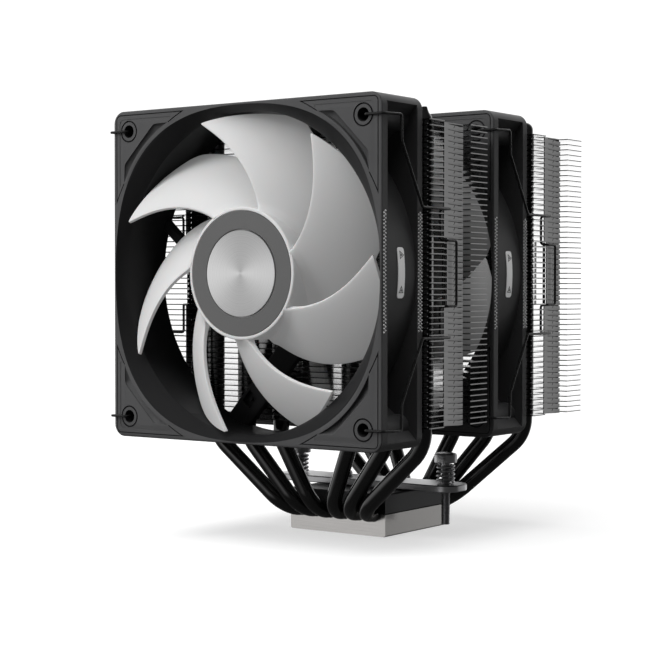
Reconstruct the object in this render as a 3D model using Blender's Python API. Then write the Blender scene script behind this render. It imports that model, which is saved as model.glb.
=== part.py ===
"""Dual-tower processor cooler: two fin stacks, six heat pipes, two clipped-on 120 mm fans and a mounting bar.

World frame: origin at the centre of the cold plate's underside, +Z up, the front fan faces -Y.
Lengths below are in millimetres, and every mesh is scaled to metres as it is made.
"""
import math

import bmesh
import bpy
from mathutils import Matrix, Vector

MM = 0.001

# Fans: a square frame around a seven-blade rotor, measured from the frame's front face.
FAN_SIZE = 120.0
FAN_DEPTH = 25.0
FAN_HEIGHT = 98.0
FRONT_FAN_Y = -81.0
MIDDLE_FAN_Y = -8.4
FRAME_CORNER = 4.5
FLANGE = 3.4
WALL = 3.0
DUCT_BORE = 57.2
DUCT_MOUTH = 59.2
DUCT_OUTSIDE = 59.3
HOLE_PITCH = 105.0
HOLE_RADIUS = 2.15
POST_RADIUS = 4.2
PAD_THICKNESS = 0.6
STRUT_DEPTH = 3.2
STRUT_WIDTH = 4.0
CABLE_STRUT_WIDTH = 10.0
SEAT_RADIUS = 23.5
SEAT_THICKNESS = 2.0

# Rotor
BLADES = 7
HUB_RADIUS = 23.5
HUB_FACE = 0.2
HUB_RECESS = 1.1
HUB_WALL = 1.3
HUB_BACK = 20.4
RING_OUTSIDE = 22.1
RING_INSIDE = 15.6
BADGE_RADIUS = 15.4
BLADE_TIP = 56.4
BLADE_ROOT = 22.8
BLADE_FRONT = (1.7, 0.7)
BLADE_BACK = (20.2, 20.0)
BLADE_PHASE = 109.0
LEAD_SWEEP = 36.0
TRAIL_AT_ROOT = 98.5
TRAIL_AT_TIP = 31.5
BLADE_THICKNESS = 2.0
BLADE_EDGE = 1.1
BLADE_TAPER = 0.15
SHAFT_RADIUS = 1.5

# Fin stacks, whose outline is measured from each tower's front edge.
STACK_FINS = 7
STACK_BOTTOM = 44.5
STACK_TOP = 150.8
FIN_THICKNESS = 2.0
FIN_DEPTH = 38.3
FIN_HALF_WIDTH = 62.5
NOTCH_HALF_WIDTH = 57.5
NOTCH_START = 9.0
NOTCH_END = 13.8
TAB_HALF_WIDTH = 59.3
TAB_END = 26.4
TAB_THICKNESS = 1.2
FRONT_TOWER_Y = -55.0
REAR_TOWER_Y = 17.5

# Heat pipes
PIPE_RADIUS = 3.0
PIPE_BASE_PITCH = 6.6
PIPE_TOP_PITCH = 16.0
PIPE_Y = 36.4
PIPE_TOP = 157.3
PIPE_BASE_Z = 8.5
PIPE_GAP = 0.6

# Base and mounting bar
BASE_HALF_WIDTH = 22.0
BASE_HALF_DEPTH = 22.5
BASE_SPLIT = 0.2
BASE_TOP = 16.0
BAR_LENGTH = 83.0
BAR_WIDTH = 16.0
BAR_THICKNESS = 2.6
BAR_GAP = 0.3
MOUNT_SCREW_X = 34.4
BAR_SCREW_X = 12.0
SPRING_LENGTH = 7.6
SPRING_TURNS = 4
SPRING_RADIUS = 3.1
SPRING_WIRE = 0.45

# Fan clips
WIRE = 0.45
CLIP_GAP = 0.35
CLIP_HOOK_DEPTH = 1.5


def clear_scene():
    for old in list(bpy.data.objects):
        bpy.data.objects.remove(old, do_unlink=True)


def material(name, colour, roughness, metallic=0.0):
    made = bpy.data.materials.new(name)
    made.use_nodes = True
    shader = made.node_tree.nodes["Principled BSDF"]
    shader.inputs["Base Color"].default_value = (*colour, 1.0)
    shader.inputs["Roughness"].default_value = roughness
    shader.inputs["Metallic"].default_value = metallic
    made.diffuse_color = (*colour, 1.0)
    return made


def empty(name, place):
    marker = bpy.data.objects.new(name, None)
    marker.location = Vector(place) * MM
    bpy.context.scene.collection.objects.link(marker)
    return marker


def solid(name, bm, finish=None, parent=None, place=(0, 0, 0)):
    """Turns a millimetre bmesh into an object in metres, shaded smooth except across its edges."""
    bmesh.ops.recalc_face_normals(bm, faces=bm.faces)
    bmesh.ops.scale(bm, vec=(MM, MM, MM), verts=bm.verts)
    mesh = bpy.data.meshes.new(name)
    bm.to_mesh(mesh)
    bm.free()
    mesh.shade_smooth()
    mesh.set_sharp_from_angle(angle=math.radians(35))
    if finish:
        mesh.materials.append(finish)
    made = bpy.data.objects.new(name, mesh)
    made.location = Vector(place) * MM
    made.parent = parent
    bpy.context.scene.collection.objects.link(made)
    return made


def boolean(target, tool, operation):
    tool.hide_render = True
    tool.display_type = "WIRE"
    step = target.modifiers.new(operation.title(), "BOOLEAN")
    step.operation = operation
    step.object = tool


def bake(target):
    """Applies the modifiers and drops the tools they used."""
    tools = [step.object for step in target.modifiers if step.type == "BOOLEAN"]
    graph = bpy.context.evaluated_depsgraph_get()
    mesh = bpy.data.meshes.new_from_object(target.evaluated_get(graph))
    target.modifiers.clear()
    target.data = mesh
    mesh.shade_smooth()
    mesh.set_sharp_from_angle(angle=math.radians(35))
    for tool in tools:
        bpy.data.objects.remove(tool, do_unlink=True)
    return target


def at(axis, u, v, w):
    """The point (u, v) of a plane across the axis, w along it."""
    return {"X": (w, u, v), "Y": (u, w, v), "Z": (u, v, w)}[axis]


def prism(bm, outline, low, high, axis="Z"):
    ends = []
    for level in (low, high):
        ends.append([bm.verts.new(at(axis, u, v, level)) for u, v in outline])
    bm.faces.new(ends[0])
    bm.faces.new(ends[1])
    for i in range(len(outline)):
        j = (i + 1) % len(outline)
        bm.faces.new((ends[0][i], ends[0][j], ends[1][j], ends[1][i]))


def lathe(bm, profile, steps, axis="Y"):
    """Turns a closed profile of (radius, height) pairs; a pair on the axis becomes one point."""
    rings = []
    for radius, height in profile:
        if radius == 0:
            rings.append([bm.verts.new(at(axis, 0, 0, height))] * steps)
            continue
        turns = (2 * math.pi * i / steps for i in range(steps))
        rings.append(
            [bm.verts.new(at(axis, radius * math.cos(t), radius * math.sin(t), height)) for t in turns]
        )
    for a, b in zip(rings, rings[1:] + rings[:1]):
        for i in range(steps):
            j = (i + 1) % steps
            corners = list(dict.fromkeys((a[i], a[j], b[j], b[i])))
            if len(corners) > 2:
                bm.faces.new(corners)


def arc(radius, start, end, steps, centre=(0, 0)):
    """Points on an arc, angles in degrees."""
    points = []
    for i in range(steps + 1):
        turn = math.radians(start + (end - start) * i / steps)
        points.append((centre[0] + radius * math.cos(turn), centre[1] + radius * math.sin(turn)))
    return points


def rounded_box(half_u, half_v, radius, steps):
    points = []
    corners = [(1, 1, 0), (-1, 1, 90), (-1, -1, 180), (1, -1, 270)]
    for side_u, side_v, start in corners:
        centre = (side_u * (half_u - radius), side_v * (half_v - radius))
        points += arc(radius, start, start + 90, steps, centre)
    return points


def filleted(points, radii, steps):
    """A polyline's points with each inner corner rounded to its radius."""
    points = [Vector(p) for p in points]
    path = [points[0]]
    for before, corner, after, radius in zip(points, points[1:], points[2:], radii):
        arriving = (corner - before).normalized()
        leaving = (after - corner).normalized()
        turn = arriving.angle(leaving)
        if radius == 0 or turn < 0.02:
            path.append(corner)
            continue
        reach = radius * math.tan(turn / 2)
        start = corner - arriving * reach
        inward = (leaving - arriving * arriving.dot(leaving)).normalized()
        for i in range(steps + 1):
            angle = turn * i / steps
            along = arriving * (radius * math.sin(angle))
            path.append(start + along + inward * (radius * (1 - math.cos(angle))))
    path.append(points[-1])
    return path


def tube(bm, path, radii, sides):
    """A round bar along the path, with one radius for each point."""
    ahead = [(b - a).normalized() for a, b in zip(path, path[1:])]
    tangents = [ahead[0]] + [(a + b).normalized() for a, b in zip(ahead, ahead[1:])] + [ahead[-1]]
    across = tangents[0].orthogonal().normalized()
    rings = []
    for point, tangent, radius in zip(path, tangents, radii):
        across = (across - tangent * across.dot(tangent)).normalized()
        other = tangent.cross(across)
        ring = []
        for i in range(sides):
            turn = 2 * math.pi * i / sides
            offset = across * math.cos(turn) + other * math.sin(turn)
            ring.append(bm.verts.new(point + offset * radius))
        rings.append(ring)
    for a, b in zip(rings, rings[1:]):
        for i in range(sides):
            j = (i + 1) % sides
            bm.faces.new((a[i], a[j], b[j], b[i]))
    bm.faces.new(rings[0])
    bm.faces.new(rings[-1])


def cylinder(bm, radius, low, high, steps, axis="Y", centre=(0, 0)):
    prism(bm, arc(radius, 0, 360 - 360 / steps, steps - 1, centre), low, high, axis)


# ---------------------------------------------------------------- fan frame


def pocket_outline(side):
    """The open window in a side wall: it wraps the corner posts and the duct's round back."""
    half = FAN_SIZE / 2 - WALL
    hole = HOLE_PITCH / 2
    upper = [(FAN_SIZE / 2 + 1, half), (FAN_SIZE / 2 - 0.4, half)]
    upper += arc(POST_RADIUS, 18, -110, 3, (hole, hole))
    upper += [(46.0, 44.6)]
    lower = [(x, -z) for x, z in reversed(upper)]
    duct = arc(DUCT_OUTSIDE, 41, -41, 14)
    return [(side * x, z) for x, z in upper + duct + lower]


def frame_block():
    bm = bmesh.new()
    half = FAN_SIZE / 2
    prism(bm, rounded_box(half, half, FRAME_CORNER, 3), 0, FAN_DEPTH, "Y")
    return solid("block", bm)


def frame_cutters():
    pockets = bmesh.new()
    for side in (1, -1):
        prism(pockets, pocket_outline(side), FLANGE, FAN_DEPTH - FLANGE, "Y")
    bore = bmesh.new()
    profile = [(0, -1), (DUCT_MOUTH + 0.7, -1), (DUCT_MOUTH, 0.0), (58.2, 1.4), (57.5, 4.0)]
    profile += [(DUCT_BORE, 9.0), (DUCT_BORE, FAN_DEPTH + 1), (0, FAN_DEPTH + 1)]
    lathe(bore, profile, 48)
    holes = bmesh.new()
    for x in (-1, 1):
        for z in (-1, 1):
            centre = (x * HOLE_PITCH / 2, z * HOLE_PITCH / 2)
            cylinder(holes, HOLE_RADIUS, -1, FAN_DEPTH + 1, 12, "Y", centre)
    return [solid("pockets", pockets), solid("bore", bore), solid("holes", holes)]


def strut_outline(width, turn):
    """A straight bar set off the radius, from the motor seat to inside the duct wall."""
    inner = Vector((11.5, -20.0))
    outer = Vector((-19.6, -54.7))
    across = (outer - inner).normalized().orthogonal() * width / 2
    corners = [inner + across, outer + across, outer - across, inner - across]
    spin = Matrix.Rotation(math.radians(turn), 2)
    return [tuple(spin @ corner) for corner in corners]


def motor_seat():
    """The spider: a round seat with the bearing boss and four struts, one of them wide for the lead."""
    bm = bmesh.new()
    back = FAN_DEPTH - 0.2
    front = back - SEAT_THICKNESS
    profile = [(3.1, 10.0), (4.2, 10.0), (4.2, front), (SEAT_RADIUS, front), (SEAT_RADIUS, back)]
    profile += [(0, back), (0, back - 0.9), (3.1, back - 0.9)]
    lathe(bm, profile, 32)
    seat = solid("seat", bm)
    for index in range(4):
        strut = bmesh.new()
        width = STRUT_WIDTH if index else CABLE_STRUT_WIDTH
        outline = strut_outline(width, 90 * index)
        prism(strut, outline, FAN_DEPTH - 0.4 - STRUT_DEPTH, FAN_DEPTH - 0.4, "Y")
        boolean(seat, solid(f"strut_{index}", strut), "UNION")
    return bake(seat)


def fan_frame(name, parent, finish):
    block = frame_block()
    for cutter in frame_cutters():
        boolean(block, cutter, "DIFFERENCE")
    frame = bake(block)
    boolean(frame, motor_seat(), "UNION")
    frame = bake(frame)
    frame.name = name
    frame.data.materials.clear()
    frame.data.materials.append(finish)
    frame.parent = parent
    return frame


# ---------------------------------------------------------------- rotor


def blade_edges(radius):
    """(angle in degrees behind the leading tip, depth) of the leading edge, then of the trailing one."""
    out = (radius - HUB_RADIUS) / (BLADE_TIP - HUB_RADIUS)
    out = min(max(out, 0.0), 1.0)
    lead = LEAD_SWEEP * (1 - out) ** 1.1
    trail = TRAIL_AT_ROOT - (TRAIL_AT_ROOT - TRAIL_AT_TIP) * out**0.74
    front = BLADE_FRONT[0] + (BLADE_FRONT[1] - BLADE_FRONT[0]) * out
    back = BLADE_BACK[0] + (BLADE_BACK[1] - BLADE_BACK[0]) * out
    return (lead, front), (trail, back)


def blade_point(radius, share, phase):
    """A point on the blade's middle surface; share runs from the leading edge to the trailing one."""
    (lead, front), (trail, back) = blade_edges(radius)
    angle = math.radians(phase - lead - (trail - lead) * share)
    depth = front + (back - front) * (0.7 * share + 0.3 * share * share)
    return Vector((radius * math.cos(angle), depth, radius * math.sin(angle)))


def add_blade(bm, phase, radii, shares):
    front = []
    back = []
    for i, radius in enumerate(radii):
        ahead = []
        behind = []
        for share in shares:
            point = blade_point(radius, share, phase)
            along = blade_point(radius, share + 0.01, phase) - blade_point(radius, share - 0.01, phase)
            out = blade_point(radius + 0.1, share, phase) - blade_point(radius - 0.1, share, phase)
            normal = along.cross(out).normalized()
            belly = math.sin(math.pi * share)
            thin = 1.0 - BLADE_TAPER * i / (len(radii) - 1)
            half = (BLADE_EDGE + (BLADE_THICKNESS - BLADE_EDGE) * belly) * thin / 2
            ahead.append(bm.verts.new(point + normal * half))
            behind.append(bm.verts.new(point - normal * half))
        front.append(ahead)
        back.append(behind)
    rows = len(radii) - 1
    columns = len(shares) - 1
    for i in range(rows):
        for j in range(columns):
            bm.faces.new((front[i][j], front[i][j + 1], front[i + 1][j + 1], front[i + 1][j]))
            bm.faces.new((back[i][j], back[i + 1][j], back[i + 1][j + 1], back[i][j + 1]))
        for j in (0, columns):
            bm.faces.new((front[i][j], front[i + 1][j], back[i + 1][j], back[i][j]))
    for j in range(columns):
        for i in (0, rows):
            bm.faces.new((front[i][j], front[i][j + 1], back[i][j + 1], back[i][j]))


def impeller(name, parent, finish):
    bm = bmesh.new()
    floor = HUB_FACE + HUB_RECESS
    inside = floor + HUB_WALL
    bore = SHAFT_RADIUS + 0.1
    profile = [(0, floor), (RING_OUTSIDE + 0.2, floor), (RING_OUTSIDE + 0.2, HUB_FACE)]
    profile += [(HUB_RADIUS - 0.4, HUB_FACE), (HUB_RADIUS, HUB_FACE + 0.5), (HUB_RADIUS, HUB_BACK)]
    profile += [(HUB_RADIUS - HUB_WALL, HUB_BACK), (HUB_RADIUS - HUB_WALL, inside)]
    profile += [(3.6, inside), (3.6, inside + 4.0), (bore, inside + 4.0)]
    profile += [(bore, inside - 0.2), (0, inside - 0.2)]
    lathe(bm, profile, 32)
    hub = solid(name, bm)
    radii = [BLADE_ROOT, 28.0, 35.0, 43.0, 51.0, BLADE_TIP]
    shares = [0.0, 0.2, 0.5, 0.8, 1.0]
    for index in range(BLADES):
        blade = bmesh.new()
        add_blade(blade, BLADE_PHASE + 360 * index / BLADES, radii, shares)
        boolean(hub, solid(f"blade_{index}", blade), "UNION")
    hub = bake(hub)
    hub.data.materials.clear()
    hub.data.materials.append(finish)
    hub.parent = parent
    return hub


def turned(name, parent, finish, profile, steps, place=(0, 0, 0)):
    bm = bmesh.new()
    lathe(bm, profile, steps)
    return solid(name, bm, finish, parent, place)


def ring_profile(inside, outside, low, high):
    return [(inside, low), (outside, low), (outside, high), (inside, high)]


def rotor_inserts(fan, rotor, looks):
    """What is pressed into the rotor: trim ring, badge disc, steel yoke, magnet and shaft."""
    floor = HUB_FACE + HUB_RECESS - 0.1
    ring = ring_profile(RING_INSIDE, RING_OUTSIDE, HUB_FACE + 0.15, floor)
    turned(f"{fan}_fan_hub_ring", rotor, looks["trim"], ring, 32)
    badge = [(0, HUB_FACE - 0.1), (BADGE_RADIUS - 0.3, HUB_FACE - 0.1), (BADGE_RADIUS, HUB_FACE + 0.2)]
    badge += [(BADGE_RADIUS, floor), (0, floor)]
    turned(f"{fan}_fan_hub_disc", rotor, looks["badge"], badge, 28)
    yoke = ring_profile(21.2, 22.0, 4.6, 19.4)
    turned(f"{fan}_fan_rotor_yoke", rotor, looks["steel"], yoke, 24)
    magnet = ring_profile(18.9, 21.0, 6.0, 18.4)
    turned(f"{fan}_fan_magnet_ring", rotor, looks["magnet"], magnet, 24)
    shaft = [(0, 3.6), (SHAFT_RADIUS - 0.2, 3.6), (SHAFT_RADIUS, 3.9), (SHAFT_RADIUS, 22.4)]
    shaft += [(SHAFT_RADIUS - 0.5, 23.2), (0, 23.2)]
    turned(f"{fan}_fan_shaft", rotor, looks["steel"], shaft, 12)


# ---------------------------------------------------------------- motor inside


def stator_outline():
    """Four poles with broad shoes on a round core."""
    points = []
    for pole in range(4):
        middle = 90 * pole
        points += arc(7.4, middle - 33, middle - 26, 1)
        points += arc(16.0, middle - 11, middle - 11.5, 1)
        points += arc(18.2, middle - 34, middle + 34, 4)
        points += arc(16.0, middle + 11.5, middle + 11, 1)
        points += arc(7.4, middle + 26, middle + 33, 1)
    return points


def stator_core(name, parent, finish):
    bm = bmesh.new()
    prism(bm, stator_outline(), 9.4, 14.6, "Y")
    bore = bmesh.new()
    cylinder(bore, 4.5, 0, 30, 20)
    core = solid(name, bm, finish, parent)
    tool = solid("stator_bore", bore)
    tool.parent = parent
    boolean(core, tool, "DIFFERENCE")
    return bake(core)


def winding(name, parent, finish):
    """One enamelled coil round each pole, all four joined by the ring of lead wire behind the core."""
    bm = bmesh.new()
    lathe(bm, ring_profile(8.2, 9.6, 16.4, 17.6), 24)
    ring = solid(name, bm, finish, parent)
    for pole in range(4):
        coil = bmesh.new()
        spin = Matrix.Rotation(math.radians(90 * pole), 4, "Y")
        outside = [(-4.6, 8.2), (4.6, 8.2), (4.6, 16.8), (-4.6, 16.8)]
        prism(coil, outside, 8.9, 15.2, "X")
        for vert in coil.verts:
            vert.co = spin @ Vector((vert.co.x, vert.co.z, vert.co.y))
        tool = solid(f"coil_{pole}", coil)
        tool.parent = parent
        boolean(ring, tool, "UNION")
        window = bmesh.new()
        inside = [(-3.5, 9.1), (3.5, 9.1), (3.5, 14.9), (-3.5, 14.9)]
        prism(window, inside, 6.0, 18.0, "X")
        for vert in window.verts:
            vert.co = spin @ Vector((vert.co.x, vert.co.z, vert.co.y))
        tool = solid(f"coil_window_{pole}", window)
        tool.parent = parent
        boolean(ring, tool, "DIFFERENCE")
    return bake(ring)


def motor(fan, parent, looks):
    sleeve = ring_profile(SHAFT_RADIUS + 0.06, 2.9, 10.4, 22.0)
    turned(f"{fan}_fan_bearing_sleeve", parent, looks["brass"], sleeve, 14)
    board = ring_profile(4.5, 20.4, 19.8, 21.0)
    turned(f"{fan}_fan_circuit_board", parent, looks["board"], board, 20)
    stator_core(f"{fan}_fan_stator_core", parent, looks["steel"])
    winding(f"{fan}_fan_winding", parent, looks["copper"])


# ---------------------------------------------------------------- pads, cable and clips of a fan


def pad_outline(side_x, side_z):
    """A rounded corner pad that stays clear of the screw hole and of the duct."""
    edge = FAN_SIZE / 2 - 1.0
    start = edge - 13.0
    corner = arc(3.6, 0, 90, 3, (edge - 3.6, edge - 3.6))
    points = [(edge, start)] + corner + [(start, edge)]
    points += [(start, edge - 3.2), (edge - 6.0, edge - 3.2), (edge - 3.2, edge - 6.0), (edge - 3.2, start)]
    return [(side_x * x, side_z * z) for x, z in points]


def pads(fan, parent, finish):
    names = {(-1, 1): "top_left", (1, 1): "top_right", (-1, -1): "bottom_left", (1, -1): "bottom_right"}
    for (x, z), name in names.items():
        bm = bmesh.new()
        low = FAN_DEPTH + 0.1
        prism(bm, pad_outline(x, z), low, low + PAD_THICKNESS, "Y")
        solid(f"{fan}_fan_pad_{name}", bm, finish, parent)


def cable(fan, parent, looks):
    """The flat lead is tucked into the left window, against the duct, and ends in its plug."""
    radius = DUCT_OUTSIDE + 0.4
    outline = arc(radius, 218, 158, 10) + arc(radius + 1.3, 158, 218, 10)
    bm = bmesh.new()
    prism(bm, outline, 5.0, 10.0, "Y")
    solid(f"{fan}_fan_cable", bm, looks["cable"], parent)
    plug = bmesh.new()
    prism(plug, [(-58.2, 24.2), (-51.6, 38.6), (-56.9, 41.0), (-61.6, 30.8), (-61.6, 24.2)], 4.6, 14.4, "Y")
    solid(f"{fan}_fan_plug", plug, looks["cable"], parent)


def clip_path(side):
    """A spring wire: hooks in two frame holes, arms back past the fins and a bar with a finger bump."""
    hole = HOLE_PITCH / 2
    reach = WIRE + CLIP_GAP
    beside = FAN_SIZE / 2 + reach + 0.15
    outer = FIN_HALF_WIDTH + reach - 0.1
    bar_y = FAN_DEPTH + 1.0 + NOTCH_START + 2.9
    bar_x = NOTCH_HALF_WIDTH + 1.3
    bump_x = TAB_HALF_WIDTH + reach + 0.3
    half = [
        (hole + 1.2, CLIP_HOOK_DEPTH, hole),
        (hole + 1.2, -reach, hole),
        (beside, -reach, hole),
        (beside + 0.15, 10.0, hole + 0.5),
        (beside + 0.35, 10.0, 44.0),
        (outer, 19.8, 22.3),
        (outer, bar_y, 22.3),
        (bar_x, bar_y, 22.3),
        (bar_x, bar_y, 11.7),
        (bump_x, bar_y + 2.1, 11.5),
        (bump_x, bar_y + 8.3, 11.5),
    ]
    path = half + [(x, y, -z) for x, y, z in reversed(half)]
    return [(side * x, y, z) for x, y, z in path]


def clip(name, parent, finish, side):
    corners = clip_path(side)
    path = filleted(corners, [1.1] * (len(corners) - 2), 1)
    bm = bmesh.new()
    tube(bm, path, [WIRE] * len(path), 5)
    return solid(name, bm, finish, parent)


def fan(name, front, looks):
    body = empty(f"{name}_fan", (0, front, FAN_HEIGHT))
    rotor = empty(f"{name}_fan_rotor", (0, 0, 0))
    rotor.parent = body
    fan_frame(f"{name}_fan_frame", body, looks["frame"])
    impeller(f"{name}_fan_impeller", rotor, looks["blade"])
    rotor_inserts(name, rotor, looks)
    motor(name, body, looks)
    pads(name, body, looks["rubber"])
    cable(name, body, looks)
    clip(f"{name}_fan_clip_left", body, looks["wire"], -1)
    clip(f"{name}_fan_clip_right", body, looks["wire"], 1)


# ---------------------------------------------------------------- heat sink


def fin_outline(front):
    """Half of the plan on the right, mirrored for the left; y runs back from the tower's front edge."""
    right = [
        (FIN_HALF_WIDTH, 0),
        (FIN_HALF_WIDTH, NOTCH_START),
        (NOTCH_HALF_WIDTH, NOTCH_START),
        (NOTCH_HALF_WIDTH, NOTCH_END),
        (TAB_HALF_WIDTH, NOTCH_END),
        (TAB_HALF_WIDTH, TAB_END),
        (FIN_HALF_WIDTH, TAB_END),
        (FIN_HALF_WIDTH, FIN_DEPTH),
    ]
    left = [(-x, y) for x, y in reversed(right)]
    return [(x, front + y) for x, y in right + left]


def pipe_places():
    """(side, order) of the six pipes from left to right; order 1 is nearest the middle."""
    return [(-1, 3), (-1, 2), (-1, 1), (1, 1), (1, 2), (1, 3)]


def fin_stack(name, front, row, finish):
    """One body: the fins, and on each side the column of folded tabs that ties them."""
    bm = bmesh.new()
    pitch = (STACK_TOP - STACK_BOTTOM - FIN_THICKNESS) / (STACK_FINS - 1)
    for index in range(STACK_FINS):
        low = STACK_BOTTOM + pitch * index
        prism(bm, fin_outline(front), low, low + FIN_THICKNESS)
    stack = solid(name, bm, finish)
    columns = bmesh.new()
    for side in (1, -1):
        x = (TAB_HALF_WIDTH - TAB_THICKNESS) * side, (TAB_HALF_WIDTH - 0.05) * side
        y = front + NOTCH_END + 0.05, front + TAB_END - 0.05
        outline = [(x[0], y[0]), (x[1], y[0]), (x[1], y[1]), (x[0], y[1])]
        prism(columns, outline, STACK_BOTTOM + 0.05, STACK_TOP - 0.05)
    boolean(stack, solid(f"{name}_tabs", columns), "UNION")
    holes = bmesh.new()
    for side, order in pipe_places():
        place = (side * order * PIPE_TOP_PITCH, row)
        cylinder(holes, PIPE_RADIUS + PIPE_GAP, STACK_BOTTOM - 5, STACK_TOP + 5, 6, "Z", place)
    boolean(stack, solid(f"{name}_holes", holes), "DIFFERENCE")
    return bake(stack)


def heat_pipe(index, side, order, finish):
    """A U of round pipe: crimped to a point over the front tower, domed over the rear one."""
    top = side * order * PIPE_TOP_PITCH
    base = side * (order - 0.5) * PIPE_BASE_PITCH
    corners = [(top, -PIPE_Y, PIPE_TOP), (top, -PIPE_Y, 36.0), (base, -32.0, PIPE_BASE_Z)]
    corners += [(base, 32.0, PIPE_BASE_Z), (top, PIPE_Y, 36.0), (top, PIPE_Y, PIPE_TOP)]
    path = filleted(corners, [14.0, 10.0, 10.0, 14.0], 3)
    down = Vector((0, 0, 1))
    crimp = [path[0], path[0] - down * 3.2, path[0] - down * 5.2]
    dome = [path[-1] - down * 1.6, path[-1] - down * 0.5, path[-1]]
    radii = [0.9, 2.4, PIPE_RADIUS] + [PIPE_RADIUS] * (len(path) - 2) + [PIPE_RADIUS, 2.5, 1.2]
    bm = bmesh.new()
    tube(bm, crimp + path[1:-1] + dome, radii, 8)
    return solid(f"heat_pipe_{index}", bm, finish)


def grooved_outline(edge, split, direction):
    """A plate's end view: flat outside at edge, with a half-round groove for each pipe at split."""
    points = [(BASE_HALF_WIDTH, edge), (BASE_HALF_WIDTH, split)]
    rise = math.degrees(math.asin(BASE_SPLIT / (PIPE_RADIUS + 0.2)))
    for side, order in reversed(pipe_places()):
        centre = (side * (order - 0.5) * PIPE_BASE_PITCH, PIPE_BASE_Z)
        span = (rise, 180 - rise) if direction > 0 else (-rise, rise - 180)
        points += arc(PIPE_RADIUS + 0.2, span[0], span[1], 8, centre)
    return points + [(-BASE_HALF_WIDTH, split), (-BASE_HALF_WIDTH, edge)]


def base(looks):
    plate = bmesh.new()
    prism(plate, grooved_outline(0.0, PIPE_BASE_Z - BASE_SPLIT, -1), -BASE_HALF_DEPTH, BASE_HALF_DEPTH, "Y")
    solid("cold_plate", plate, looks["steel"])
    block = bmesh.new()
    outline = grooved_outline(BASE_TOP, PIPE_BASE_Z + BASE_SPLIT, 1)
    prism(block, outline, -BASE_HALF_DEPTH, BASE_HALF_DEPTH, "Y")
    top = solid("base_block", block, looks["block"])
    holes = bmesh.new()
    for side in (1, -1):
        cylinder(holes, 1.8, BASE_TOP - 3.1, BASE_TOP + 2, 10, "Z", (side * BAR_SCREW_X, 0))
    boolean(top, solid("base_block_holes", holes), "DIFFERENCE")
    bake(top)


def mount_bar(looks):
    low = BASE_TOP + BAR_GAP
    bm = bmesh.new()
    prism(bm, rounded_box(BAR_LENGTH / 2, BAR_WIDTH / 2, 6.0, 4), low, low + BAR_THICKNESS)
    bar = solid("mount_bar", bm, looks["steel"])
    holes = bmesh.new()
    for side in (1, -1):
        cylinder(holes, 1.8, low - 2, low + 6, 12, "Z", (side * BAR_SCREW_X, 0))
        cylinder(holes, 2.5, low - 2, low + 6, 16, "Z", (side * MOUNT_SCREW_X, 0))
    boolean(bar, solid("mount_bar_holes", holes), "DIFFERENCE")
    bake(bar)
    for side, name in ((-1, "left"), (1, "right")):
        bar_screw(f"mount_bar_screw_{name}", side, low + BAR_THICKNESS, looks["steel"])
        mount_screw(f"mount_screw_{name}", side, low + BAR_THICKNESS, looks["steel"])
        mount_spring(f"mount_spring_{name}", side, low + BAR_THICKNESS, looks["steel"])


def bar_screw(name, side, seat, finish):
    bm = bmesh.new()
    profile = [(0, BASE_TOP - 2.8), (1.45, BASE_TOP - 2.8), (1.45, seat + 0.15), (2.8, seat + 0.15)]
    profile += [(2.8, seat + 1.5), (2.2, seat + 2.1), (1.3, seat + 2.1), (1.1, seat + 0.9), (0, seat + 0.9)]
    lathe(bm, profile, 12, "Z")
    solid(name, bm, finish, None, (side * BAR_SCREW_X, 0, 0))


def mount_screw(name, side, seat, finish):
    """A captive shoulder screw with a slotted head, held up by its spring."""
    bm = bmesh.new()
    low = seat + SPRING_LENGTH + 0.4
    profile = [(0, 3.5), (1.4, 3.5), (1.7, 4.2), (1.7, 12.0), (2.1, 12.6), (2.1, low), (4.3, low)]
    profile += [(4.3, low + 3.0), (3.8, low + 3.6), (0, low + 3.6)]
    lathe(bm, profile, 14, "Z")
    screw = solid(name, bm, finish, None, (side * MOUNT_SCREW_X, 0, 0))
    for turn in (0, 90):
        half = (2.9, 0.45) if turn else (0.45, 2.9)
        slot = bmesh.new()
        outline = [(half[0], half[1]), (-half[0], half[1]), (-half[0], -half[1]), (half[0], -half[1])]
        prism(slot, outline, low + 1.8, low + 6.0)
        tool = solid(f"{name}_slot_{turn}", slot, None, None, (side * MOUNT_SCREW_X, 0, 0))
        boolean(screw, tool, "DIFFERENCE")
    return bake(screw)


def mount_spring(name, side, seat, finish):
    turns = SPRING_TURNS
    steps = 8
    path = []
    low = seat + SPRING_WIRE + 0.15
    high = seat + SPRING_LENGTH - SPRING_WIRE + 0.1
    for i in range(turns * steps + 1):
        angle = 2 * math.pi * i / steps
        height = low + (high - low) * i / (turns * steps)
        path.append(Vector((SPRING_RADIUS * math.cos(angle), SPRING_RADIUS * math.sin(angle), height)))
    bm = bmesh.new()
    tube(bm, path, [SPRING_WIRE] * len(path), 4)
    return solid(name, bm, finish, None, (side * MOUNT_SCREW_X, 0, 0))


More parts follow.
